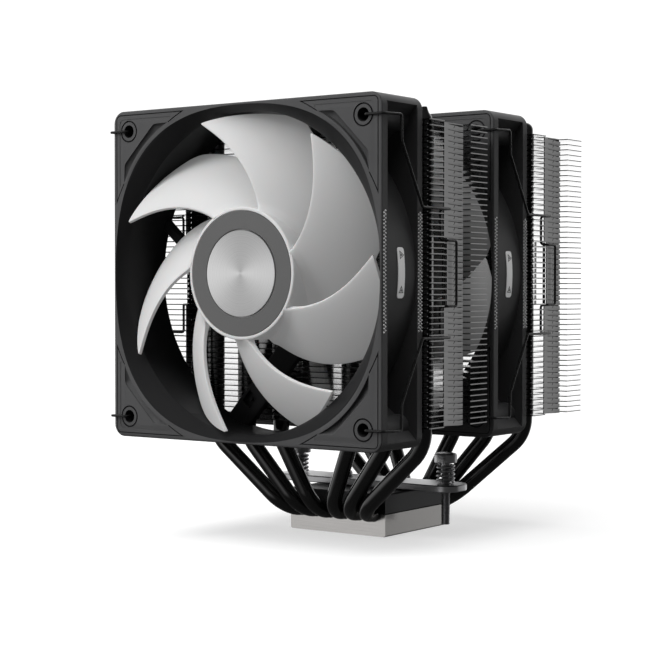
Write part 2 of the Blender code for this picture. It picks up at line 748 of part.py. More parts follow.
def finishes():
    return {
        "frame": material("frame_plastic", (0.062, 0.062, 0.064), 0.48),
        "blade": material("blade_plastic", (0.80, 0.80, 0.80), 0.38),
        "trim": material("hub_trim", (0.13, 0.13, 0.13), 0.45),
        "badge": material("brushed_disc", (0.62, 0.62, 0.62), 0.32, 1.0),
        "steel": material("nickel_steel", (0.56, 0.56, 0.57), 0.30, 1.0),
        "wire": material("black_spring_wire", (0.035, 0.035, 0.037), 0.28, 0.6),
        "magnet": material("bonded_ferrite", (0.045, 0.042, 0.040), 0.60),
        "brass": material("sintered_brass", (0.62, 0.44, 0.20), 0.35, 1.0),
        "copper": material("copper", (0.74, 0.38, 0.24), 0.28, 1.0),
        "board": material("solder_mask", (0.02, 0.10, 0.05), 0.40),
        "rubber": material("pad_rubber", (0.030, 0.030, 0.030), 0.75),
        "cable": material("cable_sheath", (0.020, 0.020, 0.020), 0.55),
        "fins": material("black_coated_fins", (0.035, 0.035, 0.037), 0.34, 0.5),
        "pipes": material("black_coated_pipes", (0.020, 0.020, 0.021), 0.18, 0.5),
        "block": material("black_base_block", (0.040, 0.040, 0.042), 0.38, 0.6),
    }


def build():
    clear_scene()
    looks = finishes()
    fan("front", FRONT_FAN_Y, looks)
    fan("middle", MIDDLE_FAN_Y, looks)
    fin_stack("front_fin_stack", FRONT_TOWER_Y, -PIPE_Y, looks["fins"])
    fin_stack("rear_fin_stack", REAR_TOWER_Y, PIPE_Y, looks["fins"])
    for index, (side, order) in enumerate(pipe_places(), 1):
        heat_pipe(index, side, order, looks["pipes"])
    base(looks)
    mount_bar(looks)


build()
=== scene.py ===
"""Looks for the dual-tower processor cooler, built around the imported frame.

Lengths are in millimetres while a piece is being made, and metres once it is an object.
A fan's pieces are made in the fan's own axes: origin at the centre of its front face, +Y towards its back.
"""

import math

import bmesh
import bpy
import numpy as np
from mathutils import Matrix, Vector


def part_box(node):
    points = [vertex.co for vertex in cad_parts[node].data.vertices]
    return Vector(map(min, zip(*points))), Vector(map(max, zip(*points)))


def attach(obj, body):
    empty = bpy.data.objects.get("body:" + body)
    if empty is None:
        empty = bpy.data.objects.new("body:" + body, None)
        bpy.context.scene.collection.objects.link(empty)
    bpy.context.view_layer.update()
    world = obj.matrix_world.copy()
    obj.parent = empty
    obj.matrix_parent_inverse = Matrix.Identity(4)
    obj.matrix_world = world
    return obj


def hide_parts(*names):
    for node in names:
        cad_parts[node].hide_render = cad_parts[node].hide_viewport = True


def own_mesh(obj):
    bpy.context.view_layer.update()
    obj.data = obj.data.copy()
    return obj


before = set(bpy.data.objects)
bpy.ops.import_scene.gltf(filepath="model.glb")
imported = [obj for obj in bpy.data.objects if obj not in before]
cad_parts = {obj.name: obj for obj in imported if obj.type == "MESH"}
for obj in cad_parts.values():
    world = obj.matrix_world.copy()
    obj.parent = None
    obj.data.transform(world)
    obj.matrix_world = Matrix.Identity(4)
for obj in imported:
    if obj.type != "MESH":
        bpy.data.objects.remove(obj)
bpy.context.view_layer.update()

MM = 0.001
FANS = ("front", "middle")
SIDES = {"left": -1, "right": 1}

# Fan frame
FRAME_HALF = 60.0
FRAME_DEPTH = 25.0
FRAME_CORNER = 4.5
FLANGE = 3.4
WALL = 3.0
BORE = 57.2
MOUTH_MEAN = 61.5
MOUTH_SWING = 2.2
LIP = 64.4
LIP_BULGE = 0.85
MOUTH_DEPTH = 4.6
DUCT_BACK = 59.4
HOLE_AT = 52.5
HOLE = 2.15
HOLE_RING = (3.45, 4.02)
POST = 4.2
GROOVE = 0.36
GROOVE_DEPTH = 0.5
PANEL_EDGE = 58.5
HOLLOW_EDGE = 54.8
HOLLOW_CORNER = 95.3
HOLLOW_SOFTNESS = 0.35
SEAT = 23.5
STRUT_ENDS = ((11.5, -20.0), (-19.6, -54.9))
STRUT = 4.0
CABLE_STRUT = 10.0
GRIP_STEP = (0.94, 1.24)
GRIP_ROWS = 16
PAD = 13.0
LEAD = 0.63

# Rotor
BLADES = 7
HUB = 23.5
HUB_FACE = 0.2
BLADE_TIP = 56.4
BLADE_PHASE = 109.0
BLADE_START = 22.9
BLADE_FRONT = (1.7, 0.7)
BLADE_BACK = (20.2, 20.0)
LEAD_SWEEP = 36.0
TRAIL_AT_ROOT = 98.5
TRAIL_AT_TIP = 31.5
BLADE_THICKNESS = 2.0
TRIM_OUTSIDE = 22.1
TRIM_INSIDE = 15.6
DISC = 15.4

# Fin stacks, in plan from each tower's front edge; clips hold the fins within HELD of FAN_CENTRE
FINS = 54
FIN_THICKNESS = 0.38
FIN_DEPTH = 38.3
FIN_HALF = 62.5
NOTCH_HALF = 57.5
NOTCH = (9.0, 13.8)
TAB_HALF = 59.3
TAB_END = 26.4
TAB_SHEET = 0.4
TAB_GAP = 0.2
TAB_DROP = 0.28
COLLAR = 3.35
COLLAR_TOP = 1.75
FAN_CENTRE = 98.0
HELD = 11.5

# Heat pipes, each by its side and its order outwards, and base
PIPE = 3.0
PIPE_TOP_PITCH = 16.0
PIPE_BASE_PITCH = 6.6
PIPE_Y = 36.4
PIPE_TOP = 157.3
PIPE_BASE_Z = 8.5
PIPE_BEND_Z = 36.0
PIPE_BASE_Y = 32.0
BASE_HALF = 22.0
MOUNT_SCREW = 34.4
BAR_SCREW = 12.0
SPRING = 3.1
SPRING_WIRE = 0.45
SPRING_TURNS = 4.6
PIPES = ((-1, 3), (-1, 2), (-1, 1), (1, 1), (1, 2), (1, 3))
WIRE = 0.48

# Studio
VIEW_AXIS = (-0.588, 0.809, 0.0)
MIRROR_AXIS = (-0.627, -0.779, 0.0)
ROOM = 0.06
FLOOR_HALF = 3000.0
FLOOR_LIFT = 0.58
WHITE = (1.0, 1.0, 1.0, 1.0)


# Mesh helpers


def piece(name, points, faces, look, smooth=32):
    """An object from points in millimetres; edges sharper than smooth degrees stay crisp."""
    mesh = bpy.data.meshes.new(name)
    mesh.from_pydata((np.asarray(points, float) * MM).tolist(), [], faces)
    mesh.validate()
    obj = bpy.data.objects.new(name, mesh)
    bpy.context.scene.collection.objects.link(obj)
    bm = bmesh.new()
    bm.from_mesh(mesh)
    bmesh.ops.recalc_face_normals(bm, faces=bm.faces)
    bm.to_mesh(mesh)
    bm.free()
    mesh.shade_smooth()
    mesh.set_sharp_from_angle(angle=math.radians(smooth))
    if look:
        mesh.materials.append(look)
    return obj


def arc(radius, start, end, steps, centre=(0.0, 0.0)):
    turns = np.radians(np.linspace(start, end, steps + 1))
    return [(centre[0] + radius * math.cos(t), centre[1] + radius * math.sin(t)) for t in turns]


def rounded(half_u, half_v, radius, steps):
    """A rectangle with round corners."""
    points = []
    for side_u, side_v, start in ((1, 1, 0), (-1, 1, 90), (-1, -1, 180), (1, -1, 270)):
        centre = (side_u * (half_u - radius), side_v * (half_v - radius))
        points += arc(radius, start, start + 90, steps, centre)
    return points


def rectangle(left, right, low, high):
    return [(left, low), (right, low), (right, high), (left, high)]


def at(axis, u, v, w):
    """The point (u, v) of a plane across the axis, w along it."""
    return {"X": (w, u, v), "Y": (u, w, v), "Z": (u, v, w)}[axis]


def loft(rings, caps=True, closed=False):
    """Points and faces through rings that hold equally many points."""
    count = len(rings[0])
    points = [p for ring in rings for p in ring]
    faces = []
    pairs = list(zip(range(len(rings)), range(1, len(rings))))
    if closed:
        pairs.append((len(rings) - 1, 0))
    for a, b in pairs:
        for i in range(count):
            j = (i + 1) % count
            faces.append((a * count + i, a * count + j, b * count + j, b * count + i))
    if caps and not closed:
        faces.append(tuple(range(count)))
        faces.append(tuple((len(rings) - 1) * count + i for i in range(count)))
    return points, faces


def layers(outlines, axis="Y"):
    """A loft through pairs of an outline and its level along the axis."""
    return loft([[at(axis, u, v, level) for u, v in outline] for outline, level in outlines])


def prism(outline, low, high, axis="Y"):
    return layers([(outline, low), (outline, high)], axis)


def lathe(profile, steps, axis="Y", centre=(0.0, 0.0), closed=True):
    """Turns (radius, height) pairs about an axis; a pair at radius 0 becomes one point."""
    points = []
    rings = []
    for radius, height in profile:
        start = len(points)
        count = 1 if radius == 0 else steps
        for i in range(count):
            turn = 2 * math.pi * i / steps
            u = centre[0] + radius * math.cos(turn)
            v = centre[1] + radius * math.sin(turn)
            points.append(at(axis, u, v, height))
        rings.append([start + (i if count > 1 else 0) for i in range(steps)])
    faces = []
    following = rings[1:] + rings[:1] if closed else rings[1:]
    for a, b in zip(rings, following):
        for i in range(steps):
            j = (i + 1) % steps
            corners = tuple(dict.fromkeys((a[i], a[j], b[j], b[i])))
            if len(corners) > 2:
                faces.append(corners)
    return points, faces


def merged(parts):
    """Several (points, faces) as one."""
    points = []
    faces = []
    for some, those in parts:
        start = len(points)
        points += [tuple(p) for p in some]
        faces += [tuple(start + i for i in face) for face in those]
    return points, faces


def box(low, high):
    return prism(rectangle(low[0], high[0], low[2], high[2]), low[1], high[1])


def mirrored(part):
    """A part drawn for the upper right corner, in all four corners."""
    points, faces = part
    return merged([([(sx * x, y, sz * z) for x, y, z in points], faces) for sx in (1, -1) for sz in (1, -1)])


def cad_box(node):
    """The low and high corners of a CAD node, in millimetres."""
    return tuple(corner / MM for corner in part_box(node))


def filleted(corners, radii, steps):
    """A polyline with each inner corner turned into an arc."""
    corners = [Vector(c) for c in corners]
    path = [corners[0]]
    for before, corner, after, radius in zip(corners, corners[1:], corners[2:], radii):
        arriving = (corner - before).normalized()
        leaving = (after - corner).normalized()
        turn = arriving.angle(leaving)
        if turn < 0.02:
            path.append(corner)
            continue
        room = 0.49 * min((corner - before).length, (after - corner).length)
        reach = min(radius * math.tan(turn / 2), room)
        bend = reach / math.tan(turn / 2)
        inward = (leaving - arriving * arriving.dot(leaving)).normalized()
        for angle in np.linspace(0, turn, steps + 1):
            along = arriving * (bend * math.sin(angle) - reach)
            path.append(corner + along + inward * (bend * (1 - math.cos(angle))))
    path.append(corners[-1])
    return path


def tube(path, radii, sides):
    """A round bar along a path with one radius for each point."""
    path = [Vector(p) for p in path]
    ahead = [(b - a).normalized() for a, b in zip(path, path[1:])]
    tangents = [ahead[0]] + [(a + b).normalized() for a, b in zip(ahead, ahead[1:])] + [ahead[-1]]
    across = tangents[0].orthogonal().normalized()
    rings = []
    for point, tangent, radius in zip(path, tangents, radii):
        across = (across - tangent * across.dot(tangent)).normalized()
        other = tangent.cross(across)
        ring = []
        for i in range(sides):
            turn = 2 * math.pi * i / sides
            ring.append(tuple(point + (across * math.cos(turn) + other * math.sin(turn)) * radius))
        rings.append(ring)
    return loft(rings)


def cut(target, tools, operation="DIFFERENCE"):
    """Applies exact Booleans with each tool in turn and removes the tools."""
    for tool in tools:
        step = target.modifiers.new("cut", "BOOLEAN")
        step.operation = operation
        step.object = tool
        step.material_mode = "TRANSFER"
    graph = bpy.context.evaluated_depsgraph_get()
    mesh = bpy.data.meshes.new_from_object(target.evaluated_get(graph))
    target.modifiers.clear()
    target.data = mesh
    mesh.shade_smooth()
    mesh.set_sharp_from_angle(angle=math.radians(32))
    for tool in tools:
        bpy.data.objects.remove(tool, do_unlink=True)
    return target


# Materials


class Nodes:
    """Short ways to add nodes to a tree."""

    def __init__(self, tree):
        self.tree = tree

    def node(self, kind, *values, **settings):
        """A node with its first inputs fed from values."""
        made = self.tree.nodes.new(kind)
        for key, value in settings.items():
            setattr(made, key, value)
        for socket, value in zip(made.inputs, values):
            self.feed(socket, value)
        return made

    def link(self, source, target):
        self.tree.links.new(source, target)

    def feed(self, socket, value):
        """Gives a socket a value, or links another socket to it."""
        if isinstance(value, bpy.types.NodeSocket):
            self.link(value, socket)
        else:
            socket.default_value = value

    def maths(self, operation, *values):
        return self.node("ShaderNodeMath", *values, operation=operation).outputs[0]

    def apart(self, vector):
        return self.node("ShaderNodeSeparateXYZ", vector).outputs

    def between(self, factor, low, high, start=0.0, end=1.0, **settings):
        """Maps a factor from start..end onto low..high."""
        return self.node("ShaderNodeMapRange", factor, start, end, low, high, **settings).outputs["Result"]


class Look(Nodes):
    """A Principled material."""

    def __init__(self, name):
        self.material = bpy.data.materials.new(name)
        self.material.use_nodes = True
        super().__init__(self.material.node_tree)
        self.shader = self.tree.nodes["Principled BSDF"]
        self.place = self.node("ShaderNodeTexCoord").outputs["Object"]

    def noise(self, scale, detail=3.0, stretch=(1, 1, 1)):
        mapping = self.node("ShaderNodeMapping", self.place)
        mapping.inputs["Scale"].default_value = stretch
        made = self.node("ShaderNodeTexNoise", mapping.outputs["Vector"])
        made.inputs["Scale"].default_value = scale
        made.inputs["Detail"].default_value = detail
        return made.outputs["Fac"]

    def base(self, colour):
        self.link(colour, self.shader.inputs["Base Color"])

    def tones(self, factor, dark, light, start=0.3, end=0.7):
        """The base colour, from dark to light as the factor runs from start to end."""
        made = self.node("ShaderNodeValToRGB", factor)
        for element, where, colour in zip(made.color_ramp.elements, (start, end), (dark, light)):
            element.position = where
            element.color = (*colour, 1.0)
        self.base(made.outputs["Color"])

    def roughness(self, value):
        self.link(value, self.shader.inputs["Roughness"])

    def bump(self, height, distance, strength=1.0):
        made = self.node("ShaderNodeBump")
        made.inputs["Distance"].default_value = distance
        made.inputs["Strength"].default_value = strength
        self.link(height, made.inputs["Height"])
        self.link(made.outputs["Normal"], self.shader.inputs["Normal"])

    def glow(self, strength):
        """A weak white emission that makes a surface brighter than its lamps would; on the blades, fins and
        side label it is painted light.
        """
        self.set(Emission_Color=WHITE)
        self.feed(self.shader.inputs["Emission Strength"], strength)

    def set(self, **values):
        for key, value in values.items():
            self.shader.inputs[key.replace("_", " ")].default_value = value


def grey(level):
    return (level, level, level)


def tinted(colour, share):
    return tuple(c * share for c in colour)


def moulded(name, colour, rough, grain=2600.0, relief=0.00002, mottle=0.10):
    """Injection-moulded plastic: fine spark-eroded grain, faint mottling and uneven sheen."""
    look = Look(name)
    look.tones(look.noise(38.0, 4.0), tinted(colour, 1 - mottle), tinted(colour, 1 + mottle))
    look.roughness(look.between(look.noise(160.0, 3.0), rough - 0.05, rough + 0.06))
    look.bump(look.noise(grain, 2.0), relief, 0.6)
    return look


def frame_plastic():
    look = moulded("frame_plastic", (0.053, 0.053, 0.054), 0.46)
    look.set(Specular_IOR_Level=0.25)
    return look


def duct_plastic():
    """The same plastic, a little glossier, and darker as painted shade for the duct, holes, grooves and
    motor seat.
    """
    look = moulded("duct_plastic", (0.011, 0.011, 0.0114), 0.40, 1200.0, 0.000008, 0.06)
    look.set(Specular_IOR_Level=0.10)
    return look


def pale_plastic(name):
    """The blades' plastic, which lets some light through, so its shaded sides stay soft."""
    look = moulded(name, grey(0.42), 0.46, 1800.0, 0.00001, 0.015)
    look.set(Subsurface_Weight=0.08, Subsurface_Scale=0.0015)
    return look


def blade_plastic():
    look = pale_plastic("blade_plastic")
    # Painted light: a weak white glow lifts the blades' shaded sides.
    look.glow(0.12)
    return look


def inner_blade_plastic():
    """Painted light: between the towers, the blades glow near their tips and front edges, where light would
    reach them.
    """
    look = pale_plastic("inner_blade_plastic")
    painted_glow_near_tip = look.between(radius_of(look), 0.0, 1.0, 0.036, 0.0542)
    painted_glow_near_front = look.between(look.apart(look.place)["Y"], 0.16, 0.07, 0.0, 0.02)
    look.glow(look.maths("MULTIPLY", painted_glow_near_tip, painted_glow_near_front))
    return look


def radius_of(look):
    """Distance from the rotor's axis, for turned and spun surfaces."""
    parts = look.apart(look.place)
    squares = [look.maths("MULTIPLY", parts[name], parts[name]) for name in "XZ"]
    return look.maths("SQRT", look.maths("ADD", *squares))


def spun_disc():
    """Aluminium spun under a brush, so that its scratches are rings and its shine is a fan."""
    look = Look("spun_aluminium")
    rings = look.node("ShaderNodeTexNoise", noise_dimensions="1D")
    rings.inputs["Scale"].default_value = 5200.0
    rings.inputs["Detail"].default_value = 4.0
    look.link(radius_of(look), rings.inputs["W"])
    fac = rings.outputs["Fac"]
    look.tones(fac, grey(0.74), grey(0.94), 0.25, 0.75)
    look.roughness(look.between(fac, 0.30, 0.46))
    look.bump(fac, 0.00001, 0.5)
    tangent = look.node("ShaderNodeTangent", direction_type="RADIAL", axis="Y")
    look.link(tangent.outputs[0], look.shader.inputs["Tangent"])
    look.set(Metallic=1.0, Anisotropic=0.8, Anisotropic_Rotation=0.25)
    return look


def coated_fins():
    """Thin sheet under a black nickel coat, coloured by face direction as painted shade: flats brightest,
    folds darker, sheared ends nearly black; the outer faces of the side tabs have a painted glow.
    """
    look = Look("coated_fin_metal")
    # Painted shade: the colour follows each face's direction, darkest on the sheared ends.
    normal = look.apart(look.node("ShaderNodeNewGeometry").outputs["True Normal"])
    ways = [look.maths("ABSOLUTE", way) for way in normal]
    fold, end, flat = (look.maths("MULTIPLY", way, share) for way, share in zip(ways, (0.22, 0.03, 0.75)))
    level = look.maths("ADD", fold, look.maths("ADD", end, flat))
    streaks = look.between(look.noise(220.0, 3.0, (0.15, 1.0, 6.0)), 0.86, 1.14)
    look.base(look.maths("MULTIPLY", level, streaks))
    sheen = look.between(look.noise(420.0, 2.0), 0.10, 0.16)
    look.roughness(look.maths("ADD", sheen, look.maths("MULTIPLY", ways[0], 0.34)))
    look.bump(look.noise(1500.0, 2.0), 0.00001, 0.12)
    look.set(Metallic=0.95)
    # Painted light: the outward faces of the side tabs glow a little.
    place = look.apart(look.place)["X"]
    away = look.maths("MULTIPLY", look.maths("SIGN", place), normal["X"])
    outside = look.maths("GREATER_THAN", look.maths("ABSOLUTE", place), (TAB_HALF - 0.1) * MM)
    sides = look.maths("MULTIPLY", look.maths("MAXIMUM", away, 0.0), outside)
    look.glow(look.maths("MULTIPLY", sides, 0.10))
    return look


def dark_coat(name, tones, mottle, sheen, relief):
    """Black over bare metal; sheen is its noise scale, then the lowest and highest roughness."""
    look = Look(name)
    look.tones(look.noise(*mottle), *map(grey, tones))
    scale, detail, low, high = sheen
    look.roughness(look.between(look.noise(scale, detail), low, high))
    grain, strength = relief
    look.bump(look.noise(grain, 2.0), 0.00001, strength)
    return look


def coated_pipe():
    look = dark_coat("coated_pipe", (0.006, 0.012), (60.0, 4.0), (90.0, 3.0, 0.06, 0.11), (300.0, 0.10))
    look.set(Coat_Weight=0.3, Coat_Roughness=0.04)
    return look


def wire_black():
    tones = (0.010, 0.020)
    look = dark_coat("black_spring_wire", tones, (500.0, 3.0), (900.0, 2.0, 0.20, 0.30), (2600.0, 0.3))
    look.set(Metallic=0.2)
    return look


def milled(name, colour, metallic, rough, lines=(0.02, 1.0, 1.0), relief=0.2):
    """Fly-cut metal with fine parallel tool lines."""
    look = Look(name)
    grain = look.noise(2400.0, 2.0, lines)
    look.tones(grain, tinted(colour, 0.95), tinted(colour, 1.05))
    look.roughness(look.between(grain, rough - 0.04, rough + 0.05))
    look.bump(grain, 0.000004, relief)
    look.set(Metallic=metallic)
    return look


def label_grey_painted_glow():
    """Printed foil, paler than the plastic round it, and brightened further by a painted glow."""
    look = moulded("side_label_grey", grey(0.72), 0.42, 2800.0, 0.00001, 0.03)
    # Painted light: a weak glow brightens the label.
    look.glow(0.10)
    return look


def banded(name, wave_shape, colours, sheen, relief, metallic):
    """Metal in fine bands across the fan's axis, such as stacked sheets or wound wire."""
    look = Look(name)
    fac = look.node("ShaderNodeTexWave", look.place, *wave_shape, bands_direction="Y").outputs["Fac"]
    look.tones(fac, *colours, 0.2, 0.8)
    grain, low, high = sheen
    look.roughness(look.between(look.noise(grain), low, high))
    look.bump(fac, *relief)
    look.set(Metallic=metallic)
    return look


def stacked_steel():
    colours = ((0.20, 0.20, 0.21), (0.42, 0.42, 0.43))
    return banded("stator_laminations", (620.0, 0.0), colours, (500.0, 0.35, 0.55), (0.00005, 0.5), 0.9)


def enamel_winding():
    colours = ((0.30, 0.11, 0.05), (0.72, 0.34, 0.17))
    return banded("enamelled_winding", (900.0, 2.0), colours, (700.0, 0.22, 0.38), (0.0001, 0.8), 0.8)


def solder_mask():
    look = Look("solder_mask")
    tracks = look.node("ShaderNodeTexVoronoi", look.place, feature="DISTANCE_TO_EDGE")
    tracks.inputs["Scale"].default_value = 320.0
    fac = tracks.outputs["Distance"]
    look.tones(fac, (0.05, 0.20, 0.10), (0.010, 0.060, 0.028), 0.05, 0.12)
    look.roughness(look.between(look.noise(300.0), 0.28, 0.42))
    look.bump(fac, 0.00003, 0.5)
    return look


def all_looks():
    made = {
        "frame": frame_plastic(),
        "duct": duct_plastic(),
        "grip": moulded("grip_plastic", grey(0.66), 0.36, 2600.0, 0.00001, 0.08),
        "blade": blade_plastic(),
        "inner_blade": inner_blade_plastic(),
        "trim": moulded("hub_trim_plastic", grey(0.084), 0.50, 3400.0, 0.00001, 0.04),
        "badge": spun_disc(),
        "fins": coated_fins(),
        # Painted shade: near-black strips behind the fin tabs.
        "fold": moulded("painted_fin_shade", grey(0.006), 0.60, 1500.0, 0.00001),
        "pipes": coated_pipe(),
        "wire": wire_black(),
        "plate": milled("nickel_plated_copper", (0.60, 0.585, 0.57), 1.0, 0.22),
        "block": milled("black_milled_block", (0.040, 0.040, 0.042), 0.6, 0.36),
        "steel": milled("nickel_plated_steel", (0.50, 0.50, 0.51), 1.0, 0.34, (0.3, 1.0, 1.0), 0.03),
        "bearing": milled("sintered_bronze", (0.62, 0.42, 0.19), 1.0, 0.40, (1.0, 1.0, 1.0)),
        "rubber": moulded("pad_rubber", grey(0.022), 0.78, 1500.0, 0.00004, 0.16),
        "cable": moulded("cable_sheath", grey(0.018), 0.50, 900.0, 0.00003, 0.12),
        "label": label_grey_painted_glow(),
        "mark": moulded("arrow_mark_dark", grey(0.045), 0.50, 2800.0, 0.00001, 0.05),
        "laminations": stacked_steel(),
        "winding": enamel_winding(),
        "board": solder_mask(),
        "magnet": moulded("bonded_ferrite", (0.050, 0.047, 0.045), 0.66, 1700.0, 0.00006, 0.20),
    }
    return {slot: look.material for slot, look in made.items()}


# Fan frame


def bore_cutter(look):
    """The duct, whose mouth is widest towards the corners and almost meets the frame's sides."""
    turns = np.linspace(0, 2 * math.pi, 240, endpoint=False)
    open_radius = MOUTH_MEAN - MOUTH_SWING * np.cos(4 * turns)
    rings = []
    for level in [-1.0] + list(np.linspace(0, MOUTH_DEPTH, 10)) + [12.0, FRAME_DEPTH + 1]:
        share = (1 - np.clip(level / MOUTH_DEPTH, 0, 1)) ** 1.25
        if level < 0:
            share = 1 + 1.25 / MOUTH_DEPTH
        radius = BORE + (open_radius - BORE) * share
        rings.append([(r * math.cos(t), level, r * math.sin(t)) for r, t in zip(radius, turns)])
    return piece("bore", *loft(rings), look)


def pocket_cutter(side):
    """The open side between the flanges: round the screw posts and down to the duct's back."""
    half = FRAME_HALF - WALL
    upper = [(FRAME_HALF + 1, half), (FRAME_HALF - 0.4, half)]
    upper += arc(POST, 18, -110, 12, (HOLE_AT, HOLE_AT)) + [(46.0, 44.6)]
    lower = [(x, -z) for x, z in reversed(upper)]
    outline = [(side * x, z) for x, z in upper + arc(DUCT_BACK, 41, -41, 60) + lower]
    return piece("pocket", *prism(outline, FLANGE, FRAME_DEPTH - FLANGE), None)


def panel_line(shift):
    """One wall of a corner panel's groove: from the hollow along the lip, round the corner, and back."""
    edge = PANEL_EDGE - shift
    curve = LIP - 0.1 + shift
    corner = 1.8 - shift
    end = math.degrees(math.acos(edge / curve))
    hollow = math.degrees(math.acos(HOLLOW_EDGE / LIP)) - 0.4
    path = arc(curve, hollow, end, 8) + arc(corner, 0, 90, 6, (edge - corner, edge - corner))
    return path + arc(curve, 90 - end, 90 - hollow, 8)


def groove_part():
    return channel(panel_line(-GROOVE / 2), panel_line(GROOVE / 2), GROOVE_DEPTH, GROOVE_DEPTH, -0.6)


def channel(outer, inner, outer_depth, inner_depth, above):
    """What is cut between two lines on the front face, from above it down to a depth at each line."""
    rings = []
    for (x, z), (u, v) in zip(outer, inner):
        rings.append([(x, above, z), (x, outer_depth, z), (u, inner_depth, v), (u, above, v)])
    return loft(rings)


def lip_radius(turn):
    """The lip bulges a little towards the corners between the ends of each hollow."""
    end = 2 * math.acos(HOLLOW_EDGE / LIP)
    share = (math.sin(2 * turn) - math.sin(end)) / (1 - math.sin(end))
    return LIP + LIP_BULGE * max(0.0, share)


def hollow_reach(turn):
    """How far out a corner hollow runs: to its two straight sides and the rounded slant between them."""
    right, up = math.cos(turn), math.sin(turn)
    walls = (HOLLOW_EDGE / right, HOLLOW_EDGE / up, HOLLOW_CORNER / (right + up))
    return -HOLLOW_SOFTNESS * math.log(sum(math.exp(-wall / HOLLOW_SOFTNESS) for wall in walls))


def hollow_part():
    """The upper right hollow: a steep wall behind the mouth's lip and a floor that curves up outwards."""
    rings = []
    first = math.acos(HOLLOW_EDGE / LIP) + 0.004
    floor = ((0.03, 1.65), (0.30, 1.58), (0.55, 1.30), (0.78, 0.85), (0.95, 0.36))
    for turn in np.linspace(first, math.pi / 2 - first, 34):
        lip = lip_radius(turn)
        width = max(hollow_reach(turn) - lip, 0.12)
        share = min(1.0, width / 2.6)
        section = [(lip, -0.6)] + [(lip + width * out, 0.1 + depth * share) for out, depth in floor]
        section += [(lip + width, -0.6)]
        rings.append([(r * math.cos(turn), y, r * math.sin(turn)) for r, y in section])
    return loft(rings)


def ramp_part():
    """A faint step in the upper right panel, running along both of its straight sides."""
    return channel(ramp_path(57.0, 1.9), ramp_path(55.3, 3.6), 0.16, -0.01, -0.5)


def ramp_path(edge, corner):
    centre = (edge - corner, edge - corner)
    return [(32.5, edge)] + arc(corner, 90, 0, 6, centre) + [(edge, 32.5)]


def frame_cutters(duct_look_with_painted_shade):
    """What is taken out of the frame's block; the bore, the holes and the grooves leave walls of the
    glossier duct plastic, darkened as painted shade.
    """
    holes = []
    for x in (-HOLE_AT, HOLE_AT):
        for z in (-HOLE_AT, HOLE_AT):
            flare = [(0, -1), (HOLE + 1.1, -1), (HOLE + 0.1, 0.12), (HOLE, 0.3), (HOLE, 24.7)]
            flare += [(HOLE + 0.1, 24.88), (HOLE + 1.1, 26), (0, 26)]
            holes.append(lathe(flare, 40, "Y", (x, z)))
            for face in (0.0, FRAME_DEPTH):
                holes.append(lathe(rectangle(*HOLE_RING, face - 0.6, face + 0.6), 56, "Y", (x, z)))
    return [
        bore_cutter(duct_look_with_painted_shade),
        pocket_cutter(1),
        pocket_cutter(-1),
        piece("holes", *merged(holes), duct_look_with_painted_shade),
        piece("grooves", *mirrored(groove_part()), duct_look_with_painted_shade),
        piece("ramps", *mirrored(ramp_part()), None),
        piece("hollows", *mirrored(hollow_part()), None),
    ]


def strut(width, turn):
    """A bar of the spider, from the seat back to the duct, with softened faces."""
    spin = Matrix.Rotation(math.radians(turn), 2)
    inner, outer = (spin @ Vector(end) for end in STRUT_ENDS)
    across = (outer - inner).normalized().orthogonal() * width / 2
    outlines = []
    for level, share in ((21.4, 0.72), (22.0, 0.94), (22.6, 1.0), (24.2, 1.0), (24.6, 0.94)):
        side = across * share
        outlines.append(((inner + side, outer + side, outer - side, inner - side), level))
    return layers(outlines)


def cable_notch():
    """A guide for the lead, sunk into the front of the wide strut, and the place of its post."""
    inner, outer = (Vector(end) for end in STRUT_ENDS)
    along = (outer - inner).normalized()
    across = Vector((along.y, -along.x))
    centre = inner + along * 35.4 + across * 0.9
    corners = [centre + along * a + across * b for a, b in rectangle(2.6, -2.6, 2.3, -2.3)]
    return prism(corners, 20.5, 22.9), centre


def motor_seat(duct_look_with_painted_shade):
    """The spider at the back: a dished seat with its bearing boss and four swept struts."""
    back = FRAME_DEPTH - 0.2
    front = back - 2.0
    profile = [(3.1, 10.0), (4.0, 10.0), (4.2, 10.2), (4.2, front - 0.6), (4.8, front), (22.6, front)]
    profile += [(23.2, front + 0.15), (SEAT, front + 0.6), (SEAT, back - 0.5), (23.2, back - 0.1)]
    profile += [(22.8, back), (20.6, back), (20.4, back - 0.25), (0, back - 0.25), (0, back - 0.9)]
    profile += [(3.1, back - 0.9)]
    # The seat, struts and post take the duct plastic, darkened as painted shade.
    seat = piece("seat", *lathe(profile, 96), duct_look_with_painted_shade)
    widths = (CABLE_STRUT, STRUT, STRUT, STRUT)
    struts = [piece("strut", *strut(width, 90 * i), duct_look_with_painted_shade) for i, width in enumerate(widths)]
    cut(seat, struts, "UNION")
    notch, place = cable_notch()
    cut(seat, [piece("notch", *notch, duct_look_with_painted_shade)])
    post = lathe([(0, 21.9), (0.55, 21.9), (0.7, 22.1), (0.7, 23.4), (0, 23.4)], 16, "Y", place)
    return cut(seat, [piece("post", *post, duct_look_with_painted_shade)], "UNION")


def frame_mesh(look, duct_look_with_painted_shade):
    edge = [(0.0, 0.5), (0.12, 0.2), (0.42, 0.0)]
    outlines = []
    for y, inset in edge + [(FRAME_DEPTH - y, inset) for y, inset in reversed(edge)]:
        half = FRAME_HALF - inset
        outlines.append((rounded(half, half, FRAME_CORNER - inset, 12), y))
    block = piece("block", *layers(outlines), look)
    cut(block, frame_cutters(duct_look_with_painted_shade))
    return cut(block, [motor_seat(duct_look_with_painted_shade)], "UNION")


